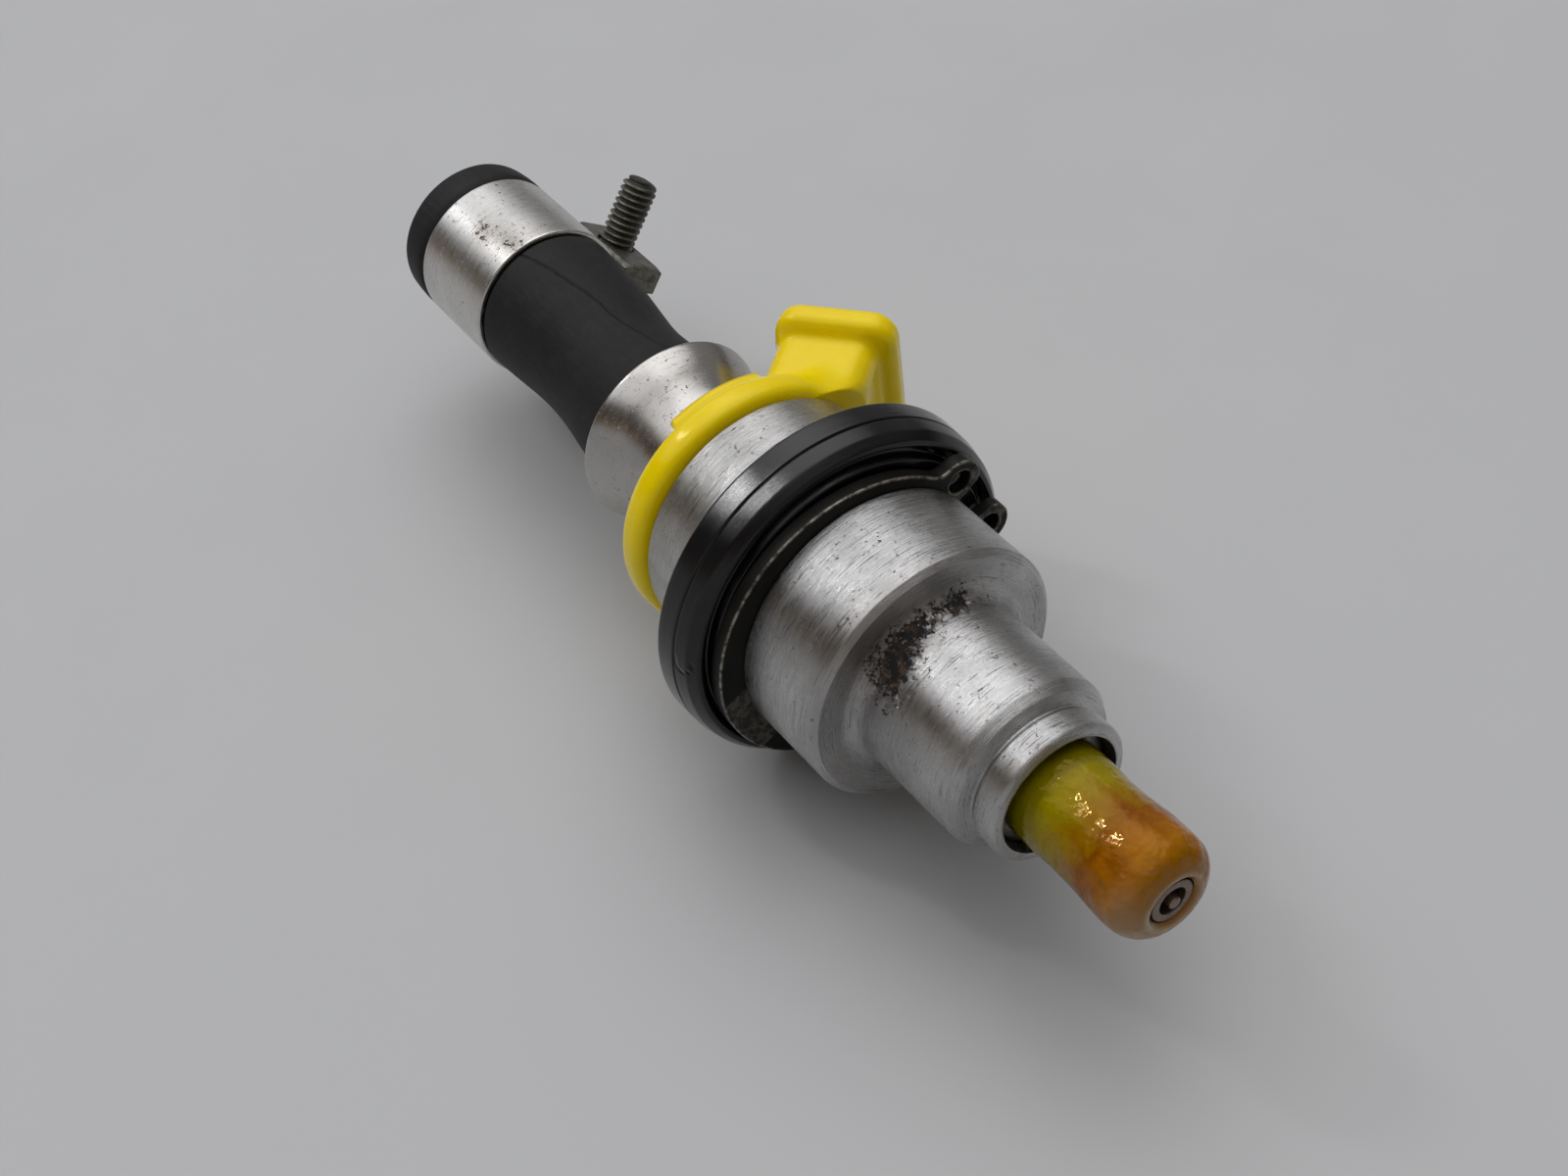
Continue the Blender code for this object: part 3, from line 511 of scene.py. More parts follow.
def add_wear(paint, colour, roughness, stain, lines):
    """Adds brown halos and black and ochre crust, where the mesh's stain and rust values say. The brown also
    stands for painted reflection streaks, and the black crust in the nozzle's mouth is painted shade.
    """
    # Brown stain that also paints reflection streaks; black crust that also paints the shade in the nozzle's
    # mouth.
    stain_and_reflection_brown, crust_and_shade_black, crust_ochre = (0.13, 0.083, 0.047), (0.009, 0.007, 0.006), (0.13, 0.07, 0.035)
    halo_and_reflection = paint.times(paint.attribute("stain"), paint.spread(stain, 0.0, 1.0, 0.65, 1.0))
    colour = paint.mix(halo_and_reflection, colour, stain_and_reflection_brown)
    grit = paint.mix(0.5, paint.noise(4.6, 6.0, 0.82), paint.noise(1.9, 5.0, 0.7))
    ragged = paint.plus(paint.attribute("rust"), paint.spread(grit, 0.33, 0.67, -1.0, 1.0))
    crust = paint.spread(ragged, 0.52, 0.72)
    specks = paint.blots(3.0, 0.67, 0.71, 3.0, 0.6)
    speckled = paint.blots(0.35, 0.46, 0.6, 2.0, most=lines)
    crust = paint.sum("MAXIMUM", crust, paint.times(specks, speckled))
    # The black crust also serves as painted shade inside the nozzle's mouth.
    crust_colour = paint.mix(paint.blots(1.3, 0.5, 0.7, 4.0, 0.6), crust_and_shade_black, crust_ochre)
    colour = paint.mix(crust, colour, crust_colour)
    roughness = paint.plus(roughness, paint.times(crust, 0.35))
    roughness = paint.plus(roughness, paint.times(halo_and_reflection, 0.12))
    paint.put("Metallic", paint.spread(crust, 0.0, 1.0, 1.0, 0.2))
    paint.bump(crust, -0.06)
    return colour, roughness


def black_oxide_paint():
    """Phosphated spring steel, rubbed bright on its outer edges."""
    paint = Paint("black_oxide", specular_ior_level=0.12)
    grain = paint.noise(7.0, 5.0, 0.7)
    gone = paint.spread(paint.noise(1.6, 5.0, 0.7), 0.42, 0.58, 0.12, 0.85)
    worn = paint.times(paint.attribute("edge"), gone)
    body = paint.mix(paint.noise(0.8, 5.0), (0.004, 0.004, 0.0035), (0.017, 0.016, 0.0135))
    paint.put("Metallic", paint.spread(worn, 0.0, 0.6, 0.1, 1.0))
    paint.bump(grain, 0.012)
    return paint.done(paint.mix(worn, body, (0.5, 0.46, 0.39)), paint.swing(grain, 0.3, 0.5))


def zinc_paint():
    """Dull zinc plate with dirt in its hollows."""
    paint = Paint("dull_zinc", metallic=0.95)
    grain = paint.noise(4.0, 6.0, 0.7)
    dirt = paint.blots(1.1, 0.42, 0.62, 5.0, 0.65, most=0.65)
    dirt = paint.sum("MAXIMUM", dirt, paint.attribute("hollow"))
    plate = paint.mix(grain, (0.13, 0.125, 0.105), (0.30, 0.29, 0.25))
    paint.put("Metallic", paint.spread(dirt, 0.0, 1.0, 0.95, 0.45))
    paint.bump(grain, 0.03)
    return paint.done(paint.mix(dirt, plate, (0.024, 0.022, 0.013)), paint.swing(grain, 0.34, 0.56))


def hose_paint():
    """Matte black rubber with a fine grain, a little dust and the dark line of its seam."""
    paint = Paint("hose_rubber", specular_ior_level=0.22)
    grain = paint.noise(9.0, 5.0, 0.75)
    stretched = paint.vector("MULTIPLY", paint.place, (0.25, 2.2, 2.2))
    drawn = paint.noise(1.0, 5.0, 0.6, place=stretched)
    dust = paint.blots(0.5, 0.5, 0.8, 6.0, 0.7, most=0.5)
    colour = paint.mix(drawn, (0.007, 0.007, 0.007), (0.016, 0.016, 0.0155))
    colour = paint.mix(dust, colour, (0.032, 0.031, 0.029))
    colour = paint.mix(paint.attribute("seam"), colour, (0.002, 0.002, 0.002))
    paint.bump(grain, 0.018)
    paint.bump(drawn, 0.05)
    return paint.done(colour, paint.swing(grain, 0.5, 0.68))


def gloss_black_paint():
    """Glossy black moulding with scuffs that follow its rim."""
    paint = Paint("gloss_black", ior=1.5)
    mark = paint.attribute("seam")
    paint.put("Specular IOR Level", paint.spread(mark, 0.0, 1.0, 0.42, 0.02))
    scratch = paint.lines(9.0, 3.0, 5.0, 0.75)
    wave = paint.lines(1.6, 2.0, 3.0, 0.5)
    scuff = paint.blots(0.28, 0.42, 0.66, 4.0, 0.6, 0.5)
    cut = paint.times(paint.spread(scratch, 0.52, 0.7), scuff)
    whitened = paint.times(cut, 0.35)
    colour = paint.mix(whitened, (0.0035, 0.0035, 0.004), (0.02, 0.02, 0.02))
    hazy = paint.plus(cut, paint.times(scuff, 0.3))
    paint.bump(wave, 0.02)
    paint.bump(scratch, 0.016)
    paint.bump(mark, -0.1)
    return paint.done(colour, paint.spread(hazy, 0.0, 1.2, 0.07, 0.3))


def light_through(weight, radius, scale):
    """Settings for light that goes through: its share, how far each colour gets, and a scale in mm."""
    return {"subsurface_weight": weight, "subsurface_radius": radius, "subsurface_scale": scale * MM}


def yellow_paint():
    """Glossy yellow moulding: clouded, with a little grime, faint scratches and a duller pad."""
    through = light_through(0.12, (1.0, 0.55, 0.05), 0.9)
    shine = {"specular_ior_level": 0.35, "specular_tint": (1.0, 0.86, 0.2)}
    paint = Paint("yellow_plastic", ior=1.45, coat_weight=0.3, coat_roughness=0.12, **shine, **through)
    cloud = paint.noise(0.3, 4.0, 0.55, 0.4)
    fine = paint.noise(5.0, 5.0, 0.7)
    scratch = paint.lines(4.0, 6.0, 3.0, 0.6)
    colour = paint.mix(cloud, (0.90, 0.64, 0.0), (0.97, 0.76, 0.0))
    grime = paint.blots(1.6, 0.62, 0.78, 6.0, 0.7, most=0.3)
    colour = paint.mix(grime, colour, (0.62, 0.38, 0.005))
    pad = paint.attribute("pad")
    colour = paint.mix(pad, colour, (0.72, 0.52, 0.003))
    rough = paint.spread(scratch, 0.4, 0.75, 0.13, 0.28)
    paint.bump(cloud, 0.08)
    paint.bump(fine, 0.008)
    paint.bump(scratch, 0.006)
    return paint.done(colour, paint.plus(rough, paint.times(pad, 0.12)))


def amber_paint():
    """Translucent amber moulding: olive at its root, orange-brown in the middle, cloudy at its end, with a painted
    reflection of the floor's light on its underside.
    """
    through = light_through(0.1, (1.0, 0.7, 0.15), 0.8)
    shine = {"specular_ior_level": 0.3, "specular_tint": (1.0, 0.5, 0.05)}
    paint = Paint("amber_plastic", ior=1.5, coat_weight=0.14, coat_roughness=0.02, **shine, **through)
    drift = paint.noise(0.32, 4.0, 0.55, 1.2)
    along = paint.plus(paint.part(paint.place, 0), paint.swing(drift, -1.3, 1.3))
    stops = (
        (0.0, (0.26, 0.125, 0.03)), (0.06, (0.27, 0.10, 0.0)), (0.15, (0.28, 0.10, 0.0)),
        (0.38, (0.17, 0.045, 0.0)), (0.52, (0.21, 0.105, 0.0)), (0.72, (0.215, 0.175, 0.0)),
        (1.0, (0.15, 0.125, 0.0)),
    )
    colour = paint.ramp(paint.spread(along, 0.0, CAP_HIGH.x), stops)
    milky = paint.blots(0.7, 0.5, 0.75, 5.0, 0.6, 0.8, most=0.2)
    colour = paint.mix(milky, colour, (0.36, 0.19, 0.0))
    speck = paint.blots(4.0, 0.7, 0.76, 3.0, most=0.6)
    colour = paint.mix(speck, colour, (0.10, 0.035, 0.01))
    # Pale cloudy colour: real clouding in a ring round the hole, and a painted reflection of the floor's light on
    # the side that faces the floor.
    hazy = paint.times(paint.attribute("haze"), paint.spread(drift, 0.3, 0.6, 0.5, 1.0))
    colour = paint.mix(hazy, colour, (0.44, 0.36, 0.26))
    paint.bump(paint.noise(0.6, 2.5, 0.5), 0.3)
    paint.put("Coat Normal", paint.normal)
    paint.bump(paint.noise(6.0, 4.0, 0.6), 0.006)
    return paint.done(colour, paint.swing(drift, 0.05, 0.12))


def burnt_paint():
    """Hardened steel, browned by fuel where it looks out of the cap."""
    paint = Paint("burnt_steel", metallic=0.85)
    lines = paint.lines(7.0, 3.0, 5.0, 0.7)
    cloud = paint.noise(2.4, 4.0, 0.6, 0.6)
    lacquer = paint.mix(cloud, (0.10, 0.045, 0.03), (0.34, 0.28, 0.23))
    inside = paint.spread(paint.part(paint.place, 0), 1.5, 4.0)
    paint.bump(lines, 0.02)
    return paint.done(paint.mix(inside, lacquer, (0.22, 0.2, 0.17)), paint.swing(lines, 0.24, 0.42))


def moulded_paint(name, dark, light, rough):
    """Plain moulded or sealed material with grain and clouding."""
    paint = Paint(name)
    grain = paint.noise(6.0, 5.0, 0.7)
    cloud = paint.noise(0.6, 4.0, 0.6, 0.4)
    paint.bump(grain, 0.02)
    return paint.done(paint.mix(cloud, dark, light), paint.swing(grain, rough - 0.08, rough + 0.1))


def drawn_metal_paint(name, dark, light, rough):
    """Plated or enamelled metal with lines round the axis."""
    paint = Paint(name, metallic=1.0)
    lines = paint.lines(6.0, 3.0, 5.0, 0.7)
    cloud = paint.noise(0.8, 4.0, 0.6, 0.4)
    paint.bump(lines, 0.015)
    return paint.done(paint.mix(cloud, dark, light), paint.swing(lines, rough - 0.06, rough + 0.1))


# Pieces


def dress(piece, paint, node):
    """Gives a piece its material and the body of the CAD node that it stands for, and hides that node."""
    piece.data.materials.append(paint)
    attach(piece, BODY_OF[node])
    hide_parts(node)


def set_values(piece, name, values):
    made = piece.data.attributes.new(name, "FLOAT", "POINT")
    made.data.foreach_set("value", np.asarray(values, np.float32))


def points_of(piece):
    """The piece's points in millimetres."""
    flat = np.empty(len(piece.data.vertices) * 3, np.float32)
    piece.data.vertices.foreach_get("co", flat)
    return flat.reshape(-1, 3) / MM


def make_pintle_cap():
    """Moulded cap: crowned end round the nozzle's tip, slight waist, uneven skin."""
    end, base = CAP_HIGH.x, CAP_HIGH.z
    outside = [
        (0.05, 2.25), (0.01, 2.5), (0.2, 3.05), (0.75, 3.72), (1.6, 4.16), (2.6, base - 0.02),
        (4.2, base - 0.07), (6.4, base - 0.22), (8.2, base - 0.28), (10.2, base - 0.2),
        (end, base - 0.14),
    ]
    bore, hole = 3.1, 1.95
    inside = [(end, bore), (1.8, bore), (1.6, hole), (0.35, hole)]
    outline = divided(smooth_curve(outside, 6) + inside, 0.25)

    def dent(grid):
        wave = lattice_noise(grid, 2.6, SEED) * 0.09 + lattice_noise(grid, 1.1, SEED + 1) * 0.025
        radius = radius_of(grid)
        return moved_out(grid, np.minimum(wave * (radius > 3.3), base - radius))

    piece = turned("pintle_cap_moulding", outline, 192, dent)
    points = points_of(piece)
    rim = 0.8 * bell(radius_of(points) - 2.4, 0.25) * (points[:, 0] < 1.0)
    # under: painted reflection of the floor's light, on the side that faces the floor.
    under = 0.55 * patch(points, 0.9, 195, 1.3, 45)
    set_values(piece, "haze", np.clip(rim + under, 0, 1))
    dress(piece, amber_paint(), "pintle_cap")


def make_nozzle_tip(steel):
    """Nozzle barrel with its chamfered rim showing in the cap's mouth."""
    flange, rear = 13.1, 21.5
    hole, barrel, body, seal, guide = 1.15, 2.85, 5.0, 4.1, 1.75
    corners = [
        (0.25, hole, 0.08), (0.25, 1.8, 0.12), (1.8, 1.8, 0.05), (1.8, barrel, 0.1),
        (flange, barrel, 0.1), (flange, body, 0.2), (17.0, body, 0.05), (17.0, seal, 0.05),
        (19.0, seal, 0.05), (19.0, body, 0.05), (rear, body, 0.2), (rear, guide, 0.1), (5.2, guide, 0.1),
        (4.2, 0.75, 0.05), (2.9, 0.75, 0.05), (2.9, hole, 0.05),
    ]
    piece = turned("nozzle_barrel", rounded(corners), 128)
    dress(piece, steel, "valve_body")


def make_needle(steel):
    """Needle and pintle, with a small chamfer on every land."""
    land, stem, root, end = 1.6, 1.05, 1.25, 27.0
    corners = [
        (0.0, 0.0, 0), (0.0, 0.5, 0.12), (4.1, 0.45, 0.05), (5.25, land, 0.1), (8.3, land, 0.1),
        (8.8, stem, 0.1), (17.0, stem, 0.1), (17.5, land, 0.1), (21.6, land, 0.1), (21.6, stem, 0.05),
        (23.2, stem, 0.05), (23.5, root, 0.05), (end, root, 0.15), (end, 0.0, 0),
    ]
    piece = turned("needle_turned", rounded(corners), 96)
    dress(piece, steel, "needle")


FILLET = HOUSING_LOW.x + 13.4  # where the nose's fillet is eaten away


def corrosion(points):
    """How badly the steel is eaten away, from 0 to 1: an arc in the fillet below the shoulder."""
    places = (
        (1.05, -0.6, 125, 1.5, 13), (0.8, 0.3, 104, 0.8, 11), (0.75, 0.35, 74, 0.7, 13),
        (0.5, -1.6, 142, 2.2, 12), (0.35, -0.4, 92, 1.2, 30),
    )
    shoulder = bell(np.maximum(radius_of(points) - 8.2, 0), 0.5)
    return np.clip(patches(points, FILLET, places) * shoulder, 0, 1)


def stain_and_reflection_marks(points):
    """Brown-black ring of stain round the corrosion, and a painted reflection of a dark brown band of the room as
    narrow streaks near 131 to 133 degrees on the shoulder's edge, the lip and the nose.
    """
    # The last three places are narrow streaks near 131 to 133 degrees: painted reflection of a dark brown band of
    # the room.
    places = (
        (0.8, 0.0, 122, 1.9, 26), (0.5, 0.3, 76, 1.0, 20), (0.6, 2.9, 133, 1.3, 9),
        (0.55, -12.4, 131, 0.8, 10), (0.5, -5.9, 133, 3.2, 7),
    )
    return np.clip(patches(points, FILLET, places), 0, 1)


def make_housing(steel):
    """Turned body: rolled lip, nose, eaten fillet, chamfered shoulder, clip groove and rear skirt."""
    lip, end, body = HOUSING_LOW.x, HOUSING_HIGH.x, HOUSING_HIGH.z
    mouth, nose, skirt, bore = 4.8, 7.25, 10.57, 9.75
    shoulder, groove = lip + 14.3, lip + 22.9
    corners = [
        (lip + 0.6, mouth, 0.1), (lip, 5.06, 0.12), (lip, 5.25, 0.12), (lip + 0.2, 5.95, 0.8),
        (lip + 2.2, 5.95, 0.4), (lip + 2.62, 5.7, 0.16), (lip + 3.05, 6.75, 0.3), (lip + 3.9, nose, 0.5),
        (shoulder, nose, 1.3), (shoulder, body - 0.5, 0.12), (shoulder + 0.45, body, 0.18),
        (groove, body, 0.08), (groove, 10.5, 0.05), (groove + 1.3, 10.5, 0.05),
        (groove + 1.3, body, 0.08), (41.2, body, 0.1), (41.4, skirt, 0.1), (end, skirt, 0.25),
        (end, 9.35, 0.1), (48.25, 9.35, 0), (48.25, bore, 0), (28.0, bore, 0), (28.0, 3.65, 0),
        (22.4, 3.65, 0), (22.4, 5.2, 0), (12.8, 5.2, 0), (12.8, mouth, 0),
    ]
    outline = divided(rounded(corners, 6), 0.2)

    def eat(grid):
        outside = radius_of(grid) > 5.65
        wave = lattice_noise(grid, 3.0, SEED + 8) * 0.008
        grit = lattice_noise(grid, 0.5, SEED + 3) * 0.6 + lattice_noise(grid, 0.22, SEED + 4) * 0.5
        eaten = corrosion(grid)
        pits = np.clip((eaten + grit * 0.6 - 0.4) * 2.0, 0, 1) * (eaten > 0.05)
        return moved_out(grid, (wave - pits * 0.14) * outside)

    piece = turned("housing_turned", outline, 480, eat)
    points = points_of(piece)
    # Painted shade: the inside of the mouth gets full black crust so that the gap reads dark.
    shaded_mouth = radius_of(points) < 5.04
    set_values(piece, "rust", corrosion(points) + 1.6 * shaded_mouth)
    # Stain values: a real stain ring round the corrosion, plus painted reflection streaks.
    set_values(piece, "stain", stain_and_reflection_marks(points))
    dress(piece, steel, "housing")


def make_circlip():
    """Retaining ring: eccentric outer edge, two lugs with plier holes, edges rolled over."""
    gap, bore, outer, shift = math.radians(21.6), 10.58, 12.4, 0.7
    lug_angle, lug_centre, lug_radius, hole = math.radians(15.6), 12.1, 1.85, 1.0
    side = np.array((math.cos(gap), math.sin(gap)))
    lug = np.array((math.cos(lug_angle), math.sin(lug_angle))) * lug_centre

    def ring_axes(y, z):
        """Distance towards the gap's middle, distance across it either way, and from a lug's centre."""
        u, v = z * side[1] - y * side[0], np.abs(z * side[0] + y * side[1])
        return u, v, np.hypot(u - lug[0], v - lug[1])

    def outer_edge(u, v, from_lug):
        return union(np.hypot(u + shift, v) - outer, from_lug - lug_radius, 1.2)

    def field(x, y, z):
        u, v, from_lug = ring_axes(y, z)
        flat = both(outer_edge(u, v, from_lug), bore - np.hypot(u, v))
        open_at = lug_angle - 0.8 * lug_radius / lug_centre
        wedge = u * math.sin(open_at) - v * math.cos(open_at)
        flat = without(flat, np.where(u > 0, -wedge, 1.0), 0.3)
        flat = without(flat, from_lug - hole)
        return extruded(flat, slab(x, CLIP_LOW.x, CLIP_HIGH.x), 0.13)

    piece = solid("circlip_stamped", field, CLIP_LOW, CLIP_HIGH, 0.1)
    points = points_of(piece)
    u, v, from_lug = ring_axes(points[:, 1], points[:, 2])
    bore_edge = (bore - np.hypot(u, v)) * (v > 3.4)
    rims = np.maximum(bell(outer_edge(u, v, from_lug) + 0.04, 0.075), 0.4 * bell(bore_edge + 0.05, 0.08))
    rims = np.maximum(rims, 0.7 * bell(from_lug - hole - 0.06, 0.1))
    front = np.clip(1.4 - (points[:, 0] - CLIP_LOW.x) / 0.16, 0, 1)
    set_values(piece, "edge", rims * front)
    dress(piece, black_oxide_paint(), "circlip")


def make_insulator_ring():
    """Glossy black ring: dished front, rounded rim with its parting groove, knit mark."""
    front, rear, rim, bore = RING_LOW.x, RING_HIGH.x, RING_HIGH.z, 11.15
    corners = [
        (front, bore, 0.1), (front, 12.45, 0.2), (front + 0.8, 12.75, 0.25), (front + 0.8, 13.15, 0.2),
        (front + 0.1, 13.5, 0.2), (front + 0.2, 13.95, 0.3), (front + 0.9, 14.5, 0.6),
        (front + 2.05, rim - 0.08, 0.12), (front + 2.2, rim - 0.32, 0.05),
        (front + 2.35, rim - 0.08, 0.12), (rear - 0.4, rim, 0.4), (rear, rim - 0.5, 0.15),
        (rear, bore, 0.1),
    ]

    def warp(grid):
        return moved_out(grid, -0.02 - 0.02 * lattice_noise(grid, 6.0, SEED + 5))

    piece = turned("insulator_moulding", divided(rounded(corners, 6), 0.4), 320, warp)
    points = points_of(piece)
    arc = (angle_of(points) - 171) * math.radians(1) * rim
    across = points[:, 0] - front - 1.3
    mark = bell(np.hypot(arc, across * 1.2) - 0.85, 0.12) * (arc > -0.3)
    set_values(piece, "seam", mark * (radius_of(points) > 13.8))
    dress(piece, gloss_black_paint(), "insulator_ring")


def connector_axes(x, y, z):
    """Coordinates in the connector's frame: towards the nozzle, across, along its lean."""
    face_distance = 18.0
    base = Vector(CONNECTOR_MOUNT["pos_m"]) / MM - CONNECTOR_ALONG * face_distance
    dx, dy = x - base.x, y
    along = dx * CONNECTOR_ALONG.x + dy * CONNECTOR_ALONG.y
    toward = dy * CONNECTOR_ALONG.x - dx * CONNECTOR_ALONG.y
    return toward, z, along


def pad_distance(x, y, z):
    angle = np.degrees(np.arctan2(z, -y))
    radius = np.hypot(y, z)
    flat = extruded(slab(radius, 7.6, 10.75), slab(angle, 69, 115) * radius * math.radians(1), 0.4)
    return extruded(flat, slab(x, 50.6, 52.6), 0.25)


def make_connector_cover(yellow):
    """Moulded cover: ring, filleted shroud, thick rounded flange, plain pad and the open socket."""
    front = 48.9

    def field(x, y, z):
        radius = np.hypot(y, z)
        toward, across, along = connector_axes(x, y, z)
        cone = (x - 52.0) * 0.96 + (radius - 9.9) * 0.28
        ring = both(both(radius - COVER_HIGH.z, front - x, 1.3), cone, 1.0)
        plug = both(radius - 9.1, slab(x, 48.2, 50.0), 0.2)
        shroud = block(toward - 0.45, across, (4.2, 7.4), 1.9, along, (8.2, 17.0), 0.3)
        shroud = without(shroud, both(radius - 16.0, x - front), 0.5)
        flange = block(toward, across, (5.05, 8.85), 2.2, along, (15.55, 18.15), 1.0)
        socket = block(toward, across, (2.6, 5.6), 1.0, along, (11.5, 22.0), 0.3)
        behind = np.maximum(6.4, 6.4 + (x - 56.0) * 0.45)
        cup = both(53.2 - x, radius - behind)
        made = union(ring, shroud, 1.6)
        made = union(made, flange, 1.0)
        made = union(made, pad_distance(x, y, z), 0.35)
        made = without(made, cup, 0.25)
        made = both(made, front - x)
        made = without(union(made, plug), socket, 0.3)
        return without(made, radius - 3.3)

    piece = solid("connector_moulding", field, COVER_LOW, COVER_HIGH, 0.14)
    points = points_of(piece).astype(float)
    pad = pad_distance(*points.T)
    set_values(piece, "pad", np.clip(1 - np.abs(pad) / 0.12, 0, 1) * (points[:, 0] > 52.2))
    dress(piece, yellow, "connector_cover")


def make_hose_cup(steel):
    """Pressed bell with a rolled rim."""
    start, rim_x, rim = CUP_LOW.x, CUP_HIGH.x - 0.15, CUP_HIGH.z
    floor, hole = start + 3.2, 3.3
    outside = [
        (start, 5.3), (start + 0.25, 5.75), (start + 0.9, 6.0), (start + 2.2, 6.0), (start + 3.6, 6.32),
        (start + 5.0, 6.95), (start + 6.2, 7.6), (start + 7.3, 8.08), (rim_x - 0.1, rim),
        (rim_x + 0.12, rim - 0.14), (rim_x + 0.1, rim - 0.36), (rim_x - 0.2, rim - 0.48),
    ]
    inside = [
        (start + 7.1, 7.55), (start + 6.0, 7.1), (start + 4.9, 6.45), (start + 3.6, 5.85), (floor, 5.4),
    ]
    outline = smooth_curve(outside, 6) + smooth_curve(inside, 5) + [(floor, hole), (start, hole)]
    piece = turned("hose_cup_pressed", divided(outline, 0.4), 256)
    points = points_of(piece)
    set_values(piece, "rust", 0.12 * patch(points, start + 2.4, 128, 1.2, 12))
    # The narrow patch near 131 degrees is a painted reflection of a dark brown band of the room; the broad one
    # near 120 degrees is stain.
    stain_and_reflection_patches = ((0.7, 3.2, 131, 1.6, 9), (0.35, 1.4, 120, 1.2, 50))
    set_values(piece, "stain", np.clip(patches(points, start, stain_and_reflection_patches), 0, 1))
    dress(piece, steel, "hose_cup")


def bent(points, way=1):
    """Points of a straight hose moved to where it runs under the clamp, or back again with way -1."""
    share = eased(np.clip((points[..., :1] - 65.0) / 11.0, 0, 1))
    return points + way * share * np.array((0.0, CLAMP_CENTRE.y, CLAMP_CENTRE.z))


def from_seam(points, radius):
    """Distance round the hose from its moulding line, which wanders as it goes."""
    x = points[..., 0]
    seam = 72.5 + (x - 64.8) * 1.86 + 0.5 * np.sin(x * 1.1) + 0.2 * np.sin(x * 3.1 + 1.0)
    return (angle_of(points) - seam) * math.radians(1) * radius


def make_hose():
    """Rubber hose, squeezed under the clamp, with a fine moulding line from the clamp to the cup."""
    start, end = HOSE_LOW.x, HOSE_HIGH.x
    front, rear = BAND_LOW.x, BAND_HIGH.x
    squeezed, bore = 6.3, 3.85
    outside = [
        (start, 5.2), (start + 0.5, 5.75), (start + 1.4, 6.2), (start + 3.0, 6.55), (start + 5.0, 6.65),
        (66.0, 6.35), (69.0, 6.1), (72.0, 6.15), (76.0, 6.4), (79.5, 6.62), (front - 0.7, 6.72),
        (front - 0.25, 6.62), (front + 0.3, 6.36), (front + 2.0, squeezed), (rear - 2.0, squeezed),
        (rear - 0.2, 6.4), (rear + 0.3, 6.8), (rear + 1.1, 7.0), (end - 0.7, 6.88), (end - 0.22, 6.72),
        (end, 6.4),
    ]
    inside = [(end - 0.02, 4.3), (end - 0.14, 4.0), (end - 0.4, bore)]
    outline = divided(smooth_curve(outside, 12) + smooth_curve(inside, 4) + [(start, bore)], 0.3)

    def shape(grid):
        radius = radius_of(grid)
        outer = radius > 5.1
        seam = bell(from_seam(grid, radius), 0.1) * (grid[..., 0] < front) * outer
        lump = lattice_noise(grid, 4.0, SEED + 6) * 0.04 + lattice_noise(grid, 1.5, SEED + 7) * 0.012
        free = (grid[..., 0] > CUP_HIGH.x) & outer
        return bent(moved_out(grid, lump * free - seam * 0.1))

    piece = turned("hose_moulding", outline, 480, shape)
    points = bent(points_of(piece), -1)
    set_values(piece, "seam", bell(from_seam(points, 6.4), 0.14) * (points[:, 0] < front))
    dress(piece, hose_paint(), "fuel_hose")


# Clamp


def clamp_axes(x, y, z):
    """Coordinates about the clamp's centre: out through the ears, along the screw, along the hose."""
    dy, dz = y - CLAMP_CENTRE.y, z - CLAMP_CENTRE.z
    out = dy * EARS_OUT.y + dz * EARS_OUT.z
    along = dy * SCREW_ALONG.y + dz * SCREW_ALONG.z
    return out, along, x - CLAMP_CENTRE.x


HOOP = 6.74  # radius of the middle of the strip round the hose


def ear_distance(out, along, height):
    """Distance to the centre line of one ear and its fillet, and where the fillet meets the hoop."""
    fillet, tip = 0.8, 11.4
    centre_y = height + fillet
    centre_x = math.sqrt((HOOP + fillet) ** 2 - centre_y**2)
    meet = math.atan2(centre_y, centre_x)
    flat = np.hypot(np.maximum(centre_x - out, 0) + np.maximum(out - tip, 0), along - height)
    turn = np.arctan2(along - centre_y, out - centre_x)
    on_arc = (turn <= -math.pi / 2) & (turn >= meet - math.pi)
    bend = np.where(on_arc, np.abs(np.hypot(out - centre_x, along - centre_y) - fillet), 1e3)
    return np.minimum(flat, bend), meet


def make_clamp_band(steel):
    """Strip wrapped round the hose and folded out into two drilled ears."""
    nut_ear, head_ear = 2.4, 3.2

    def field(x, y, z):
        out, along, across = clamp_axes(x, y, z)
        upper, meet_up = ear_distance(out, along, nut_ear)
        lower, meet_low = ear_distance(out, -along, head_ear)
        turn = np.arctan2(along, out)
        wrapped = (turn > meet_up) | (turn < -meet_low)
        ring = np.where(wrapped, np.abs(np.hypot(out, along) - HOOP), 1e3)
        line = np.minimum(np.minimum(upper, lower), ring) - 0.275
        half = 5.0 - 1.2 * eased(np.clip((out - 6.6) / 0.9, 0, 1))
        strip = extruded(line, np.abs(across) - half, 0.2)
        corner = rectangle(out - 6.4, across, (5.0, 3.8), 1.2)
        strip = np.where(out > 7.6, both(strip, corner, 0.15), strip)
        hole = np.hypot(out - SCREW_OFFSET, across) - 1.87
        return without(strip, np.where(out > 6.0, hole, 1e3), 0.12)

    piece = solid("clamp_strip", field, BAND_LOW, BAND_HIGH, 0.11)
    points = points_of(piece)
    dirt = patch(points, 86.7, 105.5, 1.3, 7) + 0.8 * patch(points, 83.4, 97, 1.6, 6)
    set_values(piece, "rust", 0.42 * dirt)
    set_values(piece, "stain", 0.55 * dirt + 0.3 * patch(points, 85.0, 100, 3.0, 14))
    dress(piece, steel, "clamp_band")


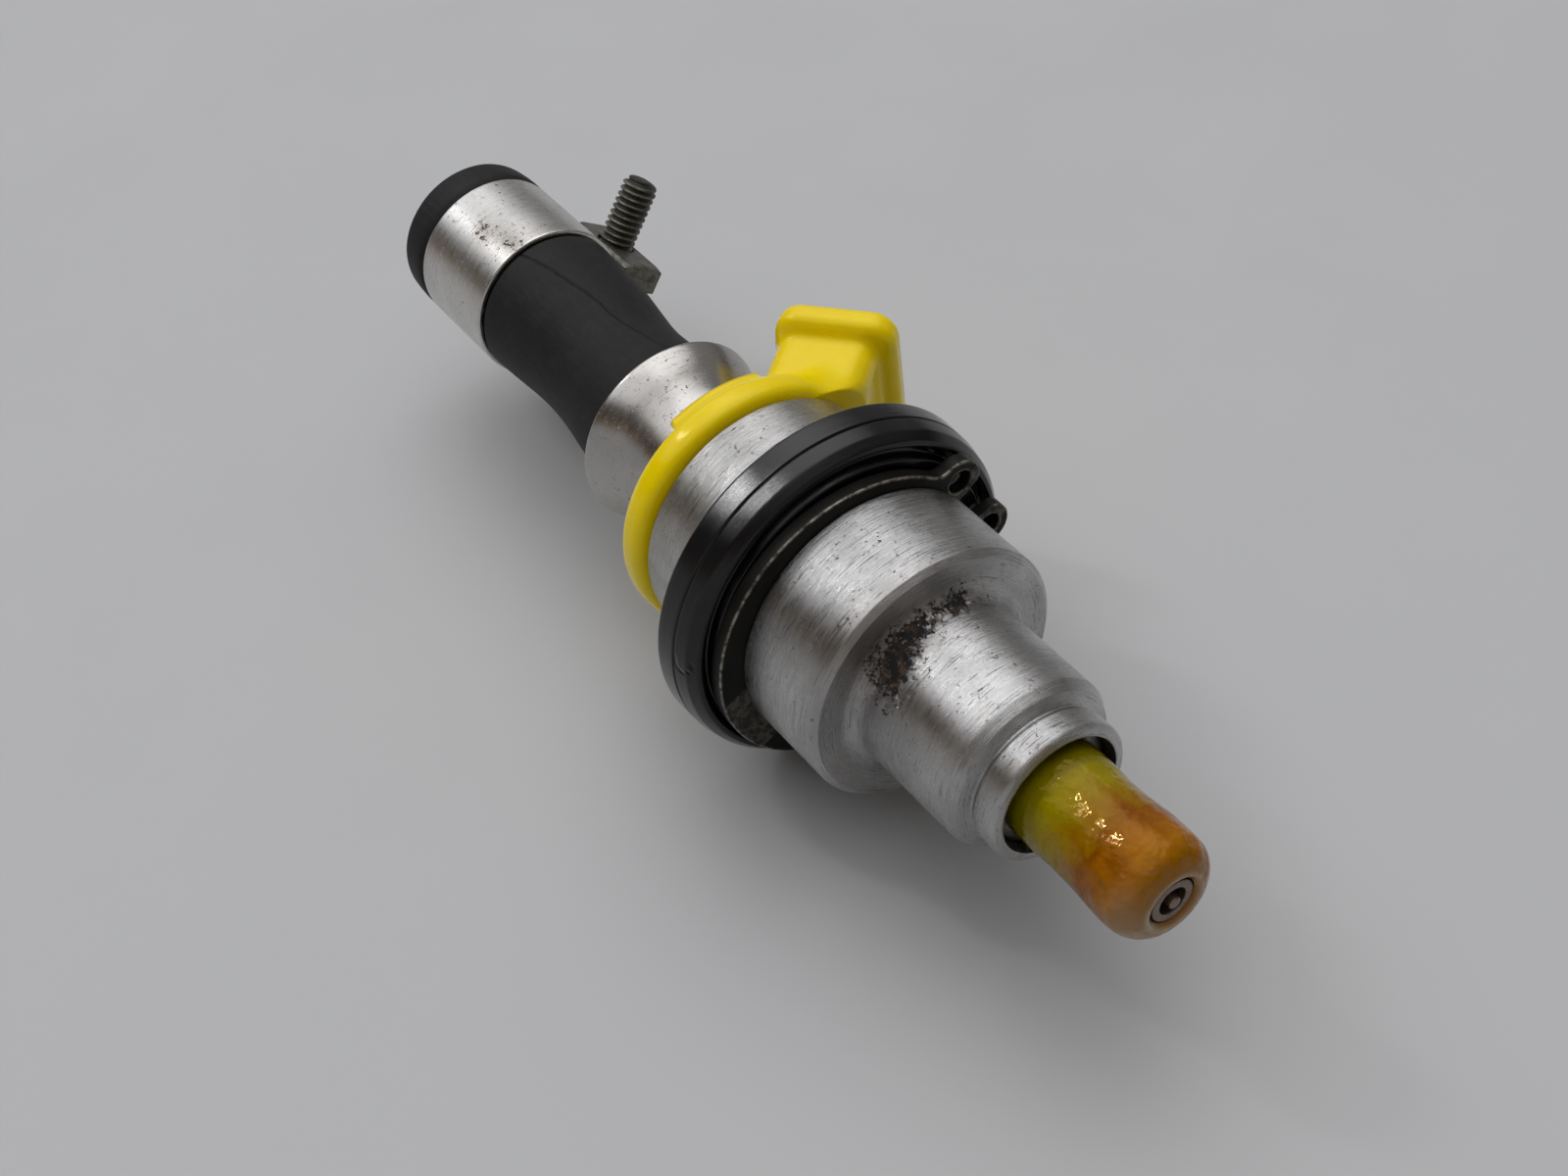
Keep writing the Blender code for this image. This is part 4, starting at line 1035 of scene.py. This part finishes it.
def make_clamp_screw(zinc):
    """Cheese-head screw with a rolled thread."""
    low, high = box_mm("clamp_screw")
    pitch, major, depth, tip = 0.6, 1.62, 0.3, 11.0
    seat, head, head_radius = -3.7, 2.2, 2.5

    def field(x, y, z):
        out, along, across = clamp_axes(x, y, z)
        a = out - SCREW_OFFSET
        radius = np.hypot(a, across)
        turn = np.arctan2(a, across) / (2 * np.pi)
        phase = np.abs(2 * ((along / pitch + turn) % 1) - 1)
        ridge = eased(np.clip(phase * 1.25 - 0.12, 0, 1))
        fade = np.clip((along - seat) / 1.0, 0, 1)
        size = major - depth * (1 - ridge) * fade - np.maximum(along - tip + 0.9, 0) ** 2 * 0.6
        shank = both((radius - size) * 0.75, slab(along, seat - 0.5, tip), 0.35)
        top = extruded(radius - head_radius, slab(along, seat - head, seat), 0.35)
        slot = both(np.abs(a) - 0.45, along - (seat - head + 1.0), 0.05)
        return union(without(top, slot, 0.12), shank, 0.2)

    room = Vector((0.32, 0.36, 0.3))
    piece = solid("clamp_screw_rolled", field, low - room, high + room, 0.07)
    points = points_of(piece).astype(float)
    out, along, across = clamp_axes(*points.T)
    radius = np.hypot(out - SCREW_OFFSET, across)
    on_thread = (along > seat + 0.3) & (radius < major + 0.05)
    set_values(piece, "hollow", np.clip((major - 0.1 - radius) / 0.2, 0, 1) * on_thread)
    dress(piece, zinc, "clamp_screw")


def make_clamp_nut(zinc):
    """Pressed nut plate with one edge bent over the ear."""
    low, high = box_mm("clamp_nut")
    middle, half = 8.925, 2.175

    def field(x, y, z):
        out, along, across = clamp_axes(x, y, z)
        plate = block(out - middle, across + 0.3, (half, 4.5), 1.0, along, (2.95, 4.65), 0.5)
        lip = block(out - middle, across + 4.42, (half, 0.375), 0.2, along, (2.2, 4.4), 0.15)
        hole = np.hypot(out - SCREW_OFFSET, across) - 1.72
        return without(union(plate, lip, 0.3), hole, 0.15)

    piece = solid("clamp_nut_pressed", field, low, high, 0.08)
    dress(piece, zinc, "clamp_nut")


def make_terminals(brass):
    """Bent blades with rolled edges and a lead-in at the tip."""
    foot_y, half = -6.2, 0.4
    root = foot_y / CONNECTOR_ALONG.y
    foot_end = 44.7 + root * CONNECTOR_ALONG.x + 0.2
    for name in ("terminal_a", "terminal_b"):
        low, high = box_mm(name)
        middle = (low.z + high.z) / 2

        def field(x, y, z, middle=middle):
            toward, _, along = connector_axes(x, y, z)
            taper = np.maximum(along - 15.7, 0) * 0.35
            blade = both(np.abs(toward) - half + taper, slab(along, root - 0.15, 16.5), 0.1)
            foot = both(np.abs(y - foot_y) - half, slab(x, 44.3, foot_end), 0.1)
            flat = union(blade, foot, 0.2)
            return extruded(flat, np.abs(z - middle) - 1.0 + taper, 0.12)

        piece = solid(name + "_blade", field, low, high, 0.09)
        dress(piece, brass, name)


def make_winding(copper):
    """Coil of enamelled wire: its turns show as fine ribs."""
    low, high = box_mm("coil_winding")
    wire, rib, steps = 0.42, 0.12, 6
    turns = int((high.x - low.x) / wire)
    pitch = (high.x - low.x) / turns
    inner, valley = 5.05, high.z - rib
    ribs = []
    for index in range(turns):
        for share in np.arange(steps) / steps:
            ribs.append((low.x + (index + share) * pitch, valley + rib * math.sin(math.pi * share)))
    outline = [(low.x, inner)] + ribs + [(high.x, valley), (high.x, inner)]
    piece = turned("coil_wire", outline, 160, sharp=80)
    dress(piece, copper, "coil_winding")


def paint_hidden(paint, *names):
    """Gives CAD nodes that stay as they are their material."""
    for name in names:
        node = frame["nodes"][name]
        node.data.materials.clear()
        node.data.materials.append(paint)


def make_pieces():
    turned_steel = steel_paint("turned_steel", (0.52, 0.515, 0.51), 0.27, worn=True)
    barrel_steel = steel_paint("barrel_steel", (0.55, 0.54, 0.52), 0.25)
    cup_steel = steel_paint("cup_steel", (0.47, 0.455, 0.435), 0.21, lines=0.25, worn=True)
    clamp_centre = (CLAMP_CENTRE.y, CLAMP_CENTRE.z)
    band_steel = steel_paint("band_steel", (0.62, 0.61, 0.59), 0.28, 0.3, clamp_centre, 0.3, worn=True)
    zinc = zinc_paint()
    brass = drawn_metal_paint("tinned_brass", (0.50, 0.44, 0.28), (0.66, 0.62, 0.5), 0.26)
    copper = drawn_metal_paint("enamelled_copper", (0.42, 0.12, 0.03), (0.62, 0.22, 0.07), 0.3)
    bobbin = moulded_paint("brown_moulding", (0.045, 0.02, 0.01), (0.13, 0.065, 0.03), 0.5)
    seal = moulded_paint("seal_rubber", (0.006, 0.006, 0.006), (0.02, 0.02, 0.02), 0.5)
    make_pintle_cap()
    burnt_steel = burnt_paint()
    make_nozzle_tip(burnt_steel)
    make_needle(burnt_steel)
    make_housing(turned_steel)
    make_circlip()
    make_insulator_ring()
    make_connector_cover(yellow_paint())
    make_hose_cup(cup_steel)
    make_hose()
    make_clamp_band(band_steel)
    make_clamp_screw(zinc)
    make_clamp_nut(zinc)
    make_terminals(brass)
    make_winding(copper)
    paint_hidden(barrel_steel, "stop_shim", "armature", "return_spring", "adjusting_sleeve", "pole_core")
    paint_hidden(bobbin, "coil_bobbin", "inlet_filter")
    paint_hidden(seal, "valve_body_seal", "coil_seal_front", "coil_seal_rear")


# Surroundings

REAL_UP = (0.27, -0.31, 0.91)  # straight up, for the tilt that the injector really lies at
GLOW = (0.35, 0.10, 0.93)  # the brightest part of the ceiling
CARD_DISTANCE = 0.6
CAMERA_PLACE = Vector((-0.069574, 0.064110, 0.130593))
CAMERA_RIGHT = Vector((-0.572099, -0.813559, -0.104036))
CAMERA_BACK = Vector((-0.607998, 0.335533, 0.719553))


def make_floor():
    """Plain pale floor that the insulator ring touches."""
    mesh = bpy.data.meshes.new("floor")
    made = bmesh.new()
    bmesh.ops.create_grid(made, x_segments=1, y_segments=1, size=3.0)
    made.to_mesh(mesh)
    made.free()
    floor = add_object("floor", mesh)
    floor.location.z = (RING_LOW.z - 0.02) * MM
    paint = Paint("floor_paint")
    grain = paint.noise(0.05, 6.0, 0.6)
    colour = paint.mix(grain, (0.47, 0.475, 0.48), (0.53, 0.535, 0.54))
    mesh.materials.append(paint.done(colour, paint.swing(grain, 0.45, 0.6)))


def make_lights():
    """A soft overhead light, a small window, and cards that light only the two glossy mouldings."""
    lights = (
        ("key", REAL_UP, 0.55, (0.5, 0.5), 0.55, None),
        ("window", (0.6, 0.3, 0.74), CARD_DISTANCE, (0.035, 0.12), 0.26, None),
        ("ring_card", (0.6, 0.36, 0.71), CARD_DISTANCE, (0.2, 0.17), 1.8, "insulator_moulding"),
        ("ring_front_card", (0.15, 0.3, 0.93), CARD_DISTANCE, (0.12, 0.24), 1.5, "insulator_moulding"),
        ("cap_card", (0.6, 0.13, 0.79), CARD_DISTANCE, (0.06, 0.05), 1.1, "pintle_cap_moulding"),
    )
    middle = (CAD_BOX[0] + CAD_BOX[1]) / 2
    for name, direction, distance, size, power, piece in lights:
        light = bpy.data.lights.new(name, "AREA")
        light.shape = "RECTANGLE"
        light.size, light.size_y = size
        light.energy = power
        lamp = add_object(name, light)
        direction = Vector(direction).normalized()
        lamp.location = middle + direction * distance
        lamp.rotation_mode = "QUATERNION"
        lamp.rotation_quaternion = direction.to_track_quat("Z", "Y")
        if piece:
            only = bpy.data.collections.new(name)
            only.objects.link(bpy.data.objects[piece])
            lamp.light_linking.receiver_collection = only


def make_room():
    """World of a plain room: pale ceiling, dim walls, pale floor. The camera itself sees plain grey."""
    world = bpy.data.worlds.new("studio")
    bpy.context.scene.world = world
    world.use_nodes = True
    graph = Graph(world.node_tree)
    ray = graph.make("TexCoord", {}, "Generated")

    def facing(direction, low, high):
        """How far a ray points in a direction, from 0 at low to 1 at high."""
        return graph.spread(graph.vector("DOT_PRODUCT", ray, direction), low, high)

    walls = (
        (0.0, (0.34, 0.34, 0.35)), (0.49, (0.36, 0.36, 0.37)), (0.53, (0.17, 0.118, 0.065)),
        (0.60, (0.072, 0.053, 0.038)), (0.70, (0.07, 0.065, 0.06)),
    )
    ceiling = graph.mix(facing(GLOW, 0.5, 0.85), (0.24, 0.235, 0.23), (1.15, 1.15, 1.18))
    room = graph.mix(facing(REAL_UP, 0.4, 0.54), graph.ramp(facing(REAL_UP, -1.0, 1.0), walls), ceiling)
    seen = graph.make("LightPath", {}, "Is Camera Ray")
    background = graph.tree.nodes["Background"]
    graph.feed(background.inputs["Color"], graph.mix(seen, room, (0.5, 0.5, 0.51)))


def make_camera():
    """Looks down on the nozzle end from above and to one side."""
    data = bpy.data.cameras.new("camera")
    data.sensor_width, data.lens = 36, 54.68
    data.clip_start, data.clip_end = 0.01, 20
    camera = add_object("camera", data)
    turn = Matrix((CAMERA_RIGHT, CAMERA_BACK.cross(CAMERA_RIGHT), CAMERA_BACK)).transposed()
    camera.matrix_world = Matrix.LocRotScale(CAMERA_PLACE, turn.to_quaternion(), None)
    bpy.context.scene.camera = camera


make_pieces()
make_floor()
make_lights()
make_room()
make_camera()
bpy.context.scene.view_settings.view_transform = "Standard"
